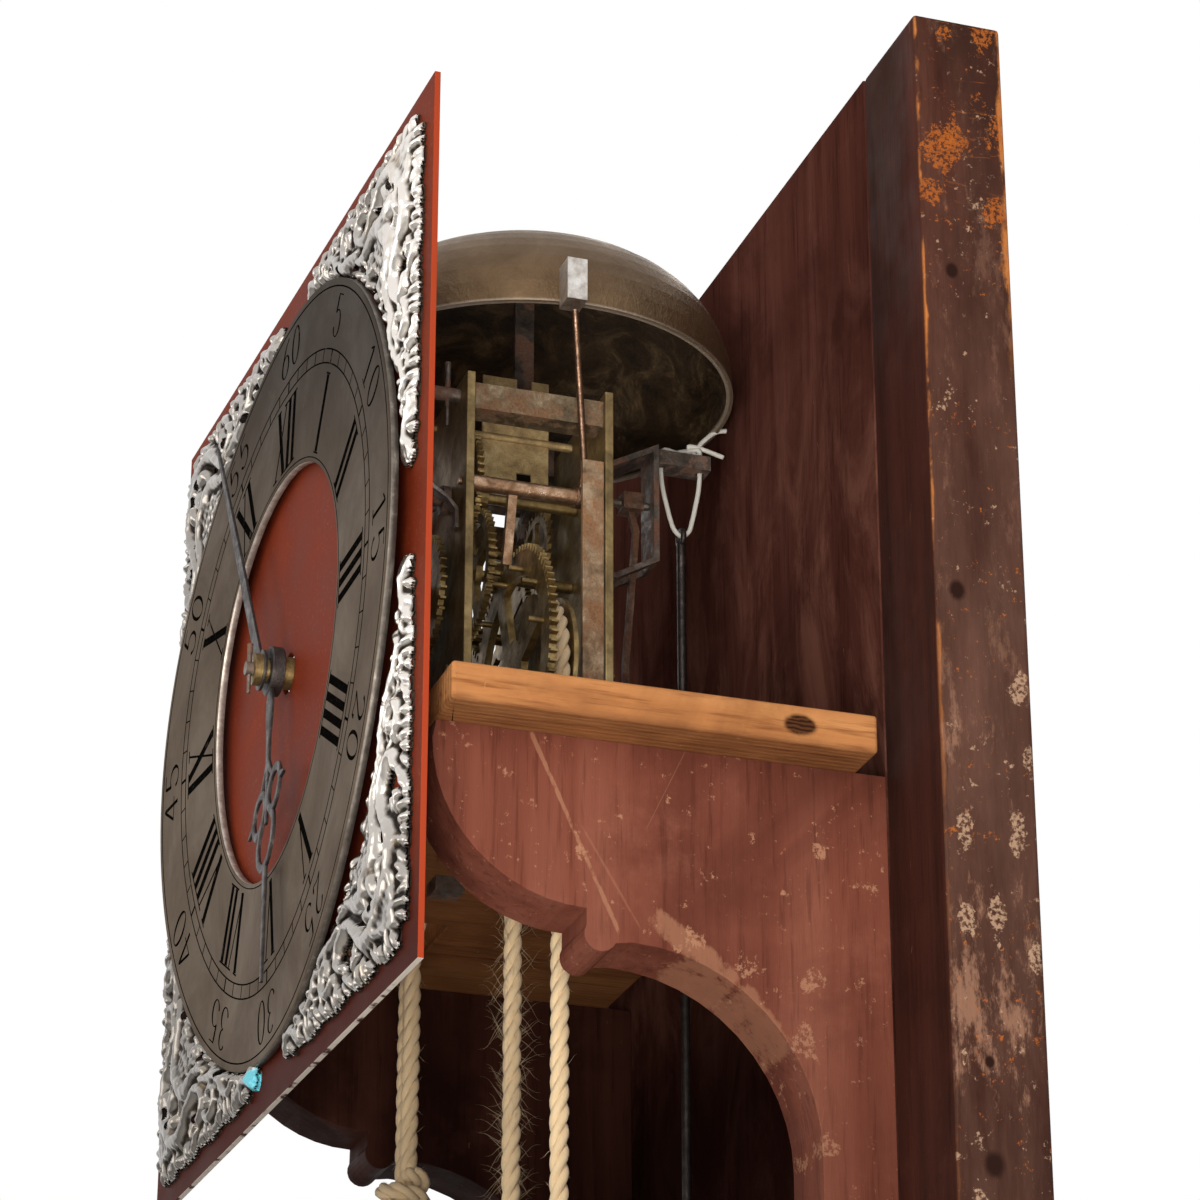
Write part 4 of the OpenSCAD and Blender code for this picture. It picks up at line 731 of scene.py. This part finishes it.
# ---------------- the chapter ring and its figures
RING_R, RING_IN, RING_THICK = 134.6, 71.8, 2.6
OUTER_WARP = (-5.6, 0.2, 0.38, -2.49, 0.92, 0.92, 0.13)
INNER_WARP = (-4.82, 0.29, 0.02, -0.51, 0.71)
INK_HIGH, INK_LOW = 0.07, -0.08
MINUTE_LOW, MINUTE_HIGH = 105.5, 110.3
HOURS = ("XII", "I", "II", "III", "IIII", "V", "VI", "VII", "VIII", "IX", "X", "XI")


def warp(c, a):
    return c[0] + sum(c[2 * k - 1] * cos(k * a) + c[2 * k] * sin(k * a) for k in range(1, (len(c) + 1) // 2))


def face_y(r, a):
    """The ring's face is a little bent: its distance from the plate changes round it and across it."""
    t = (r - RING_IN) / (RING_R - RING_IN)
    return warp(INNER_WARP, a) * (1 - t) + warp(OUTER_WARP, a) * t


def ring():
    shape = Shape()
    n = 240
    radii = [RING_IN, RING_IN + 0.25] + list(np.linspace(RING_IN + 2, RING_R - 2, 12)) + [RING_R - 0.3, RING_R]
    rows = len(radii)
    half = n * rows
    verts = []
    for side in (0, 1):
        for i in range(n):
            a = TAU * i / n
            for k, r in enumerate(radii):
                drop = 0.18 if k in (0, rows - 1) else 0.0
                verts.append(D(r * cos(a), face_y(r, a) + (RING_THICK if side else drop), r * sin(a)))
    faces, edges = [], []
    for i in range(n):
        at, to = i * rows, (i + 1) % n * rows
        for k in range(rows - 1):
            faces.append((at + k, at + k + 1, to + k + 1, to + k))
        for k, flip in ((0, False), (rows - 1, True)):
            q = (at + k, to + k, half + to + k, half + at + k)
            edges.append(q[::-1] if flip else q)
    shape.grow(verts, faces + [tuple(half + k for k in q[::-1]) for q in faces])
    shape.faces += edges
    shape.indices += [1] * len(edges)
    shape.piece("chapter_ring_bent", ring_pewter, edge_bright, slot="ring_metal", replaces=["chapter_ring"])


def stroke_strip(shape, line, width, gap=1.6):
    """A flat line laid on the ring, in dial millimetres; width may be a function of its direction."""
    dense = []
    for a, b in zip(line, line[1:]):
        n = max(1, ceil(dist(a, b) / gap))
        dense += [(a[0] + (b[0] - a[0]) * i / n, a[1] + (b[1] - a[1]) * i / n) for i in range(n)]
    dense.append(line[-1])
    verts = []
    for i, p in enumerate(dense):
        dx, dz = heading(dense, i)
        w = (width(dx, dz) if callable(width) else width) / 2
        for s, lift in ((-1, INK_HIGH), (1, INK_HIGH), (1, INK_LOW), (-1, INK_LOW)):
            x, z = p[0] - dz * s * w, p[1] + dx * s * w
            verts.append(D(x, face_y(hypot(x, z), atan2(z, x)) - lift, z))
    shape.loft(verts, 4)


def radial_point(minute, across, r):
    """Across and along at a minute of the dial: feet of the figures point to the centre."""
    a = radians(90 - 6 * minute)
    return (r * cos(a) + across * sin(a), r * sin(a) - across * cos(a))


HOUR_LOW, HOUR_HIGH = 75.2, 102.2
HEAD, FOOT = HOUR_HIGH - 0.4, HOUR_LOW + 0.4
# Each letter's width, then its bars: across and along at both ends, and how thick
LETTERS = {
    "I": (5.6, ((0, FOOT, 0, HEAD, 3.0), (-2.7, HOUR_LOW, 2.7, HOUR_LOW, 0.6), (-2.7, HOUR_HIGH, 2.7, HOUR_HIGH, 0.6))),
    "V": (12.0, ((-4.2, HEAD, 0.6, HOUR_LOW, 3.0), (4.6, HEAD, 0.4, HOUR_LOW, 0.8),
                 (-6.6, HOUR_HIGH, -2.2, HOUR_HIGH, 0.6), (2.2, HOUR_HIGH, 6.6, HOUR_HIGH, 0.6))),
    "X": (12.0, ((-4.4, HEAD, 4.4, FOOT, 3.0), (4.4, HEAD, -4.4, FOOT, 0.8),
                 (-6.7, HOUR_LOW, -2.1, HOUR_LOW, 0.6), (2.1, HOUR_LOW, 6.7, HOUR_LOW, 0.6),
                 (-6.7, HOUR_HIGH, -2.1, HOUR_HIGH, 0.6), (2.1, HOUR_HIGH, 6.7, HOUR_HIGH, 0.6))),
}


def roman(shape, hour, text):
    at = -sum(LETTERS[c][0] for c in text) / 2
    for wide, bars in (LETTERS[c] for c in text):
        mid = at + wide / 2
        for x0, r0, x1, r1, w in bars:
            stroke_strip(shape, [radial_point(hour * 5, mid + x0, r0), radial_point(hour * 5, mid + x1, r1)], w)
        at += wide


DIGITS = {
    "0": [arc(0.32, 0.5, 0.3, 0.5, 90, 450, 28)],
    "1": [[(0.12, 0.82), (0.34, 1.0), (0.34, 0.0)], [(0.14, 0.0), (0.54, 0.0)]],
    "2": [arc(0.32, 0.74, 0.26, 0.26, 165, -40, 12) + [(0.06, 0.06)],
          [(0.04, 0.05), (0.3, 0.1), (0.6, 0.0), (0.64, 0.16)]],
    "3": [arc(0.3, 0.76, 0.25, 0.24, 150, -85, 12), arc(0.3, 0.27, 0.3, 0.27, 85, -160, 14)],
    "4": [[(0.44, 0.0), (0.44, 1.0), (0.0, 0.3), (0.66, 0.3)]],
    "5": [[(0.56, 1.0), (0.16, 1.0), (0.1, 0.56)] + arc(0.3, 0.32, 0.3, 0.32, 125, -160, 16)],
    "6": [[(0.52, 1.0), (0.28, 0.86), (0.08, 0.5), (0.03, 0.3)], arc(0.32, 0.3, 0.28, 0.3, 90, 450, 24)],
}
DIGIT_HIGH, DIGIT_WIDE, DIGIT_FOOT, DIGIT_PITCH = 14.5, 13.4, 114.5, 12.4


def figures():
    shape = Shape()
    for r, w in ((131.8, 0.5), (MINUTE_HIGH, 0.5), (MINUTE_LOW, 0.5), (73.4, 0.35)):
        stroke_strip(shape, [polar(0, 0, r, a) for a in circle(180)], w, gap=9)
    for m in range(60):
        stroke_strip(shape, [radial_point(m, 0, MINUTE_LOW), radial_point(m, 0, MINUTE_HIGH)], 0.45 if m % 5 else 1.0)
    for hour, text in enumerate(HOURS):
        roman(shape, hour, text)
    for minute in range(5, 65, 5):
        text = str(minute)
        out_x, out_z = radial_point(minute, 0, 1)
        for place, c in enumerate(text):
            shift = (place - (len(text) - 1) / 2) * DIGIT_PITCH - 0.32 * DIGIT_WIDE
            for line in DIGITS[c]:
                pts = [radial_point(minute, shift + px * DIGIT_WIDE, DIGIT_FOOT + pz * DIGIT_HIGH) for px, pz in line]
                stroke_strip(shape, pts, lambda dx, dz: 0.4 + 0.95 * abs(dx * out_x + dz * out_z) ** 2.5, gap=1.2)
    shape.piece("dial_figures", figure_look(), slot="dark_steel", smooth=False)


ring_pewter, edge_bright = ring_look(), edge_look()
ring()
figures()

# ---------------- corner castings
CAST_EDGE = 144.0
CAST_SIZE = 133.0


class Relief:
    """Heights in millimetres over a square grid, measured from the outer corner of a casting."""

    def __init__(self, cells):
        self.n = cells
        self.gap = CAST_SIZE / (cells - 1)
        ticks = np.linspace(0, CAST_SIZE, cells)
        self.u, self.v = np.meshgrid(ticks, ticks, indexing="ij")
        self.h = np.zeros((cells, cells))

    def blob(self, cu, cv, ru, rv, h, a=0.0):
        """Half an egg with radii ru and rv, turned by a."""
        reach = max(ru, rv)
        lo = [max(0, int((c - reach) / self.gap)) for c in (cu, cv)]
        hi = [min(self.n, int((c + reach) / self.gap) + 2) for c in (cu, cv)]
        if lo[0] >= hi[0] or lo[1] >= hi[1]:
            return
        box = (slice(lo[0], hi[0]), slice(lo[1], hi[1]))
        du, dv = self.u[box] - cu, self.v[box] - cv
        c, s = cos(a), sin(a)
        d = ((du * c + dv * s) / ru) ** 2 + ((dv * c - du * s) / rv) ** 2
        np.maximum(self.h[box], h * np.sqrt(np.clip(1 - d, 0, 1)), out=self.h[box])

    def band(self, points, radii, h0, h1):
        """Rounded ribbon through points."""
        pts = smooth_path([(p[0], p[1], 0) for p in points], 0.45)
        for i, p in enumerate(pts):
            t = i / (len(pts) - 1)
            r = float(np.interp(t, np.linspace(0, 1, len(radii)), radii))
            self.blob(p.x, p.y, r, r, h0 + (h1 - h0) * t)

    def curl(self, cu, cv, r0, r1, a0, a1, w, h):
        """Ribbon that winds in round a centre and ends in a bead."""
        pts = [polar(cu, cv, r0 + (r1 - r0) * i / 25, radians(a0 + (a1 - a0) * i / 25)) for i in range(26)]
        self.band(pts, (w, w * 0.9, w * 0.7), h, h + 0.3)
        self.blob(*pts[-1], w * 1.15, w * 1.15, h + 0.9)

    def leaf(self, cu, cv, a, length, width, h, lobes):
        """Acanthus leaf: a midrib with paired lobes that shorten to the tip."""
        for i in range(lobes):
            t = (i + 0.35) / lobes
            reach = width * (1.05 - 0.62 * t)
            for b in (a - 0.85 + 0.3 * t, a + 0.85 - 0.3 * t):
                self.blob(*polar(*polar(cu, cv, length * t, a), reach * 0.55, b), reach * 0.6, width * 0.24,
                          h * (0.92 - 0.15 * t), b)
        self.band([polar(cu, cv, length * s, a) for s in (0, 0.5, 1)], (width * 0.22, width * 0.2, 0.7), h, h * 0.7)


def blur(field, steps):
    for _ in range(steps):
        for axis in (0, 1):
            field = (np.roll(field, 1, axis) + field * 2 + np.roll(field, -1, axis)) / 4
    return field


def relief():
    """One arm is drawn and mirrored about the corner's diagonal; the corner's own shell comes last."""
    g = Relief(222)
    for i, t in enumerate(np.arange(11, 121, 3.8)):
        half = 4.3 + 1.5 * sin(i * 1.7) + 0.7 * sin(i * 0.6)
        g.blob(t, 1.4 + half * 0.9, half, 1.75, 3.8 + 0.6 * sin(i * 2.3), 1.2 + 0.45 * sin(i * 0.9))
    for points, radii, h0, h1 in (
            ([(19, 31), (20, 19), (28, 13), (38, 13), (46, 19), (55, 24), (64, 20), (65, 14), (60, 11.5)],
             (4.0, 4.6, 3.8, 3.2, 3.0, 2.2), 6.0, 4.8),
            ([(31, 37), (36, 29.5), (44, 27.5), (54, 30.5), (63, 28.5)], (3.6, 5.6, 4.6, 2.8, 1.5), 6.1, 4.8),
            ([(62, 25.5), (70, 23.5), (80, 22), (88, 17), (93, 12), (99, 10), (103.5, 13)],
             (1.8, 2.8, 3.0, 2.4, 1.6), 5.2, 4.6),
            ([(110, 6.5), (115, 8.5), (121, 8.6)], (1.7, 2.1, 1.8), 4.2, 4.6)):
        g.band(points, radii, h0, h1)
    for curl in ((76, 14.5, 7.2, 2.4, 205, 560, 2.5, 4.9), (92, 8.6, 3.6, 1.2, 150, -180, 1.35, 4.2),
                 (107.5, 9.0, 3.6, 1.3, 190, 560, 1.45, 4.2)):
        g.curl(*curl)
    for b in (-0.62, -0.3, 0.0, 0.3, 0.6):
        g.band([(118, 8.2), (123.5, 8.2 + 5.5 * sin(b)), (128.5 - abs(b) * 3, 8.2 + 9.0 * sin(b) * 0.8)],
               (0.9, 1.25, 0.8), 4.3, 3.4)
    for t in np.arange(52, 118, 6.4):
        edge = CAST_EDGE - sqrt(max(0.0, RING_R ** 2 - (CAST_EDGE - t) ** 2))
        g.blob(t, edge - 2.6, 3.6, 1.9, 4.1, -0.7 + 0.15 * atan2(RING_R - 10, CAST_EDGE - t))
        if t < 92:
            g.blob(t - 1.5, edge - 6.6, 3.8, 1.9, 4.6, -0.5)
    for leaf in ((47, 34, 0.75, 9, 6.5, 4.8, 3), (66, 17, 0.4, 8, 5.0, 4.2, 2), (84, 9, 1.2, 6, 4.6, 4.2, 2),
                 (36, 8.5, 1.4, 8, 5.0, 4.4, 2), (50, 8, 1.75, 9, 5.6, 4.4, 3), (97, 12, 0.5, 6, 4.0, 3.9, 2)):
        g.leaf(*leaf)
    g.h = np.maximum(g.h, g.h.T)
    for a in np.linspace(0.12, 1.45, 7):
        g.band([polar(9, 9, r, a) for r in (0, 9, 17)], (1.2, 2.0, 2.3), 3.6, 5.2)
    for a in np.linspace(0.3, 1.27, 4):
        g.leaf(31, 31, a, 17, 7.5, 5.4, 4)
    g.blob(27.5, 27.5, 8.0, 4.8, 6.1, 0.785)
    g.curl(27.5, 27.5, 9.5, 7.5, 225, 560, 1.5, 4.6)

    body = blur((g.h > 0.6).astype(float), 5) > 0.3
    inside = (np.hypot(CAST_EDGE - g.u, CAST_EDGE - g.v) > RING_R - 1.2) & (np.minimum(g.u, g.v) > 0.3)
    floor = 1.3 + 0.35 * blur(rng.random((g.n, g.n)) - 0.5, 2) * 6
    height = np.where(body, np.maximum(g.h, floor), 0.0)
    lump = blur(rng.random((g.n, g.n)) - 0.5, 3) * 5
    height = np.where(height > 0, np.clip(blur(height, 2) + 0.3 * lump, 0.3, 6.1), 0.0)
    for cu, cv, ru, rv in ((41.5, 21.5, 2.4, 1.8), (53, 14.5, 2.6, 1.7), (70, 27.5, 2.2, 1.3), (86, 20.5, 2.6, 1.2),
                           (25, 20, 1.9, 1.6), (58, 34.5, 2.4, 1.4), (99, 13.6, 1.5, 0.9)):
        for a, b, ra, rb in ((cu, cv, ru, rv), (cv, cu, rv, ru)):
            height[((g.u - a) / ra) ** 2 + ((g.v - b) / rb) ** 2 < 1] = 0
    height = np.where(inside, height, 0.0)
    hollow = np.clip((blur(height, 10) - height) / 1.6 + 0.35, 0, 1)
    return g.u, g.v, height, hollow


def castings():
    """The relief's raised cells become a skin with a flat back and a rim, once for each corner."""
    u, v, height, hollow = relief()
    solid = height > 0.25
    keep = solid[:-1, :-1] & solid[1:, :-1] & solid[1:, 1:] & solid[:-1, 1:]
    padded = np.pad(keep, 1)
    used = padded[:-1, :-1] | padded[1:, :-1] | padded[1:, 1:] | padded[:-1, 1:]
    count = int(used.sum())
    index = np.full(used.shape, -1)
    index[used] = np.arange(count)
    tops, rim = [], []
    for i, j in np.argwhere(keep):
        tops.append((int(index[i, j]), int(index[i + 1, j]), int(index[i + 1, j + 1]), int(index[i, j + 1])))
        for di, dj, p, q in ((-1, 0, (0, 1), (0, 0)), (1, 0, (1, 0), (1, 1)), (0, -1, (0, 0), (1, 0)),
                             (0, 1, (1, 1), (0, 1))):
            if not padded[i + 1 + di, j + 1 + dj]:
                a, b = int(index[i + p[0], j + p[1]]), int(index[i + q[0], j + q[1]])
                rim.append((a, b, b + count, a + count))
    shape = Shape()
    uu, vv, hh = u[used], v[used], height[used]
    marks = [(float(d), float(h) / 6) for d, h in zip(hollow[used], hh)]
    for sx, sz in ((1, 1), (-1, 1), (-1, -1), (1, -1)):
        xs, zs = sx * (CAST_EDGE - uu), sz * (CAST_EDGE - vv)
        verts = [D(x, -h, z) for x, h, z in zip(xs, hh, zs)] + [D(x, 0, z) for x, z in zip(xs, zs)]
        turn_over = slice(None) if sx * sz < 0 else slice(None, None, -1)
        faces = []
        for q in tops:
            faces.append(q[turn_over])
            faces.append(tuple(k + count for k in q[turn_over][::-1]))
        faces += [q[turn_over] for q in rim]
        shape.grow(verts, faces, marks + [(1.0, 0.0)] * count)
    shape.piece("corner_castings", cast_look(), slot="cast_lead", replaces=["spandrels"])


castings()

# ---------------- hour hand
LEAN = radians(2.3)
HOUR_ANGLE = radians(280.7)
HAND_BACK = -5.6
CHAMFER = 0.3


def hour_point(along, across, depth):
    """A point of the hour hand: along it, across it, and forward from its back."""
    y = HAND_BACK - depth - along * sin(LEAN)
    r = along * cos(LEAN)
    c, s = cos(HOUR_ANGLE), sin(HOUR_ANGLE)
    return P(r * c - across * s, y, r * s + across * c)


def flat_bar(shape, points, width, lift=0.0, thick=1.0):
    """A flat bar with chamfered edges, along a smooth line in the hand's own plane."""
    line = [(p.x, p.y) for p in smooth_path([(a, b, 0) for a, b in points], 0.7)]
    verts = []
    for i, p in enumerate(line):
        dx, dz = heading(line, i)
        w = (width(i / (len(line) - 1)) if callable(width) else width) / 2
        for s, depth in ((-1, 0), (-1, thick - CHAMFER), (-0.75, thick), (0.75, thick), (1, thick - CHAMFER), (1, 0)):
            verts.append(hour_point(p[0] - dz * s * w, p[1] + dx * s * w, depth + lift * (depth > 0)))
    shape.loft(verts, 6, flip=True)


def hour_hand():
    shape = Shape()
    rounds = 48
    hub = ((4.3, -3.0), (8.3, -3.0), (8.5, -3.2), (8.5, -7.0), (8.0, -7.4), (6.2, -7.5), (4.3, -7.4))
    verts = [P(r * cos(a), y, r * sin(a)) for a in circle(rounds)[:-1] for r, y in hub]
    m = len(hub)
    faces = [(i * m + k, i * m + (k + 1) % m, (i + 1) % rounds * m + (k + 1) % m, (i + 1) % rounds * m + k)
             for i in range(rounds) for k in range(m)]
    shape.grow(verts, faces)
    flat_bar(shape, [(6, 0), (12, 0), (20, 0), (30, 0), (38, 0), (44, 0)],
             lambda q: 3.4 + 5.2 * exp(-((q - 0.26) / 0.2) ** 2), thick=1.1)
    for s in (-1, 1):
        flat_bar(shape, [(52 + 7.2 * cos(a) * 0.98, s * (9.6 + 7.4 * sin(a))) for a in circle(24)],
                 3.1, 0.03 + 0.02 * s)
        flat_bar(shape, [(37, s * 0.6), (41, s * 3.5), (44.5, s * 6.5)], lambda q: 2.6 - 0.8 * q, 0.07)
        flat_bar(shape, [(52, s * 16.5), (52.5, s * 19.5), (53.5, s * 23)], lambda q: 3.2 * (1 - q) + 0.6, 0.1)
        flat_bar(shape, [(57, s * 4.5), (63, s * 9.5), (70, s * 9.3), (75, s * 5), (76.5, s * 0.6)], 3.0,
                 0.06 + 0.02 * s)
    flat_bar(shape, [(44, 0), (50, 0), (58, 0), (60.5, 0)], lambda q: 3.0 - 1.2 * q, 0.02)
    flat_bar(shape, [(75, 0), (80, 0), (100, 0), (120, 0)], lambda q: 4.6 - 3.3 * q, 0.02)
    shape.piece("hour_hand_pierced", dark_steel, body="hour_hand", slot="dark_steel", replaces=["hour_hand"],
                smooth=False)


hour_hand()

# ---------------- finishes of the CAD nodes
FINISHES = (
    (wood("board_dark_stain", *MAROON, wear_and_shade=board_wear, rough=0.75, spec=0.0), "backboard"),
    (wood("ear_worn_stain", (0.018, 0.006, 0.004), (0.055, 0.016, 0.011), (0.1, 0.034, 0.022), wear_and_shade=ear_wear,
          rough=0.66), "backboard_ears"),
    (wood("cheek_worn_stain", *MAUVE, wear_and_shade=cheek_wear), "trunk_side_right"),
    # painted shade: the left cheek, inside the trunk, is a much darker copy of the cheek stain
    (wood("cheek_stain_painted_shade", (0.012, 0.004, 0.003), (0.04, 0.013, 0.009), (0.09, 0.032, 0.022)), "trunk_side_left"),
    (wood("seat_bare_pine", (0.2, 0.075, 0.027), (0.46, 0.19, 0.068), (0.66, 0.33, 0.13), grain="y", wear_and_shade=seat_wear,
          rough=0.7, streak=1.6, worn=(0.6, 0.34, 0.16)), "seatboard"),
    (case_wood, "trunk_door plinth_boards"),
    (rail_wood, "trunk_front_frame trunk_top_moulding trunk_base_moulding plinth_skirting"),
    (brass, "going_great_wheel going_pulley second_wheel escape_wheel strike_great_wheel strike_pulley hoop_wheel "
            "warning_wheel count_wheel cannon_pinion hour_wheel minute_wheel hand_collet pendulum_bob rating_nut "
            "door_latch"),
    (plate_brass, "front_plate back_plate"),
    (iron, "seatboard_bolts bell_stand bell_nut door_hinge_leaves door_hinge_knuckles dial_feet taper_pins "
           "motion_studs pallets detent_lever lifting_piece detent_spring back_cock"),
    (dark_steel, "minute_hand pendulum_rod"),
    (weight_iron, "going_weight strike_weight"),
    (fly_brass, "fly"),
    (pillar_iron, "pillars"),
    (spring_iron, "hammer_spring"),
    (copper_steel, "hammer_arbor"),
    (crust_iron, "crutch"),
    (hammer_look(), "hammer"),
    (bell_look(), "bell"),
    (dial_look(), "dial_plate"),
)
BEVELS = ((1.6, "backboard_ears trunk_side_left trunk_side_right"), (1.2, "backboard seatboard"),
          (1.0, "trunk_front_frame trunk_door plinth_boards plinth_skirting"), (0.5, "pillars"), (0.4, "hammer"),
          (0.35, "hammer_spring front_plate back_plate"), (0.2, "dial_plate minute_hand"))
for finish, names in FINISHES:
    for name in names.split():
        mats = nodes[name].data.materials
        if not mats:
            mats.append(finish)
        for i in range(len(mats)):
            mats[i] = finish
for width, names in BEVELS:
    for name in names.split():
        weld = nodes[name].modifiers.new("weld", "WELD")
        weld.merge_threshold = 0.000005
        bevel = nodes[name].modifiers.new("bevel", "BEVEL")
        bevel.width = width / 1000
        bevel.segments = 3
        bevel.limit_method = "ANGLE"
        bevel.angle_limit = radians(40)
        bevel.harden_normals = False

# ---------------- floor, world and lamps
floor_mesh = bpy.data.meshes.new("floor")
floor_mesh.from_pydata([(-8, -8, 0), (8, -8, 0), (8, 8, 0), (-8, 8, 0)], [], [(0, 1, 2, 3)])
floor = bpy.data.objects.new("floor", floor_mesh)
bpy.context.scene.collection.objects.link(floor)
pale = Look("floor_pale", 0.8, spec=0.2)
pale.colour = pale.ramp(pale.noise(3, 3), (0.3, (0.8, 0.8, 0.79)), (0.7, (0.86, 0.86, 0.85)))
floor_mesh.materials.append(pale.done())

# The world is white where it is seen and softer where it lights.
world = bpy.data.worlds.new("world")
world.use_nodes = True
bpy.context.scene.world = world
tree = world.node_tree
rays = add_node(tree, "LightPath", {}, None)
seen = add_node(tree, "Math", {0: rays["Is Camera Ray"], 1: rays["Is Glossy Ray"]}, operation="ADD")
seen = add_node(tree, "Math", {0: seen, 1: rays["Is Transmission Ray"]}, operation="ADD", use_clamp=True)
background = tree.nodes["Background"].inputs
put(tree, background["Color"], (1, 1, 1))
put(tree, background["Strength"], add_node(tree, "MapRange", {"Value": seen, "To Min": 0.36, "To Max": 1.0}))

AIM = Vector((0, 0, 1.7))
WARM = (1, 0.95, 0.87)
LAMPS = (("key", (2.4, -1.6, 2.5), (1.6, 1.6), 36), ("fill_low", (1.9, -0.8, 0.5), (1.3, 1.3), 52),
         ("front", (-0.6, -2.6, 2.1), (1.6, 1.2), 12), ("rim", (-1.6, 1.2, 3.0), (1.2, 1.2), 14))
for name, place, size, watts in LAMPS:
    lamp = bpy.data.lights.new(name, "AREA")
    lamp.shape = "RECTANGLE"
    lamp.size, lamp.size_y = size
    lamp.energy = watts
    lamp.color = WARM
    stand = bpy.data.objects.new(name, lamp)
    bpy.context.scene.collection.objects.link(stand)
    stand.location = place
    stand.rotation_mode = "QUATERNION"
    stand.rotation_quaternion = (AIM - Vector(place)).to_track_quat("-Z", "Y")
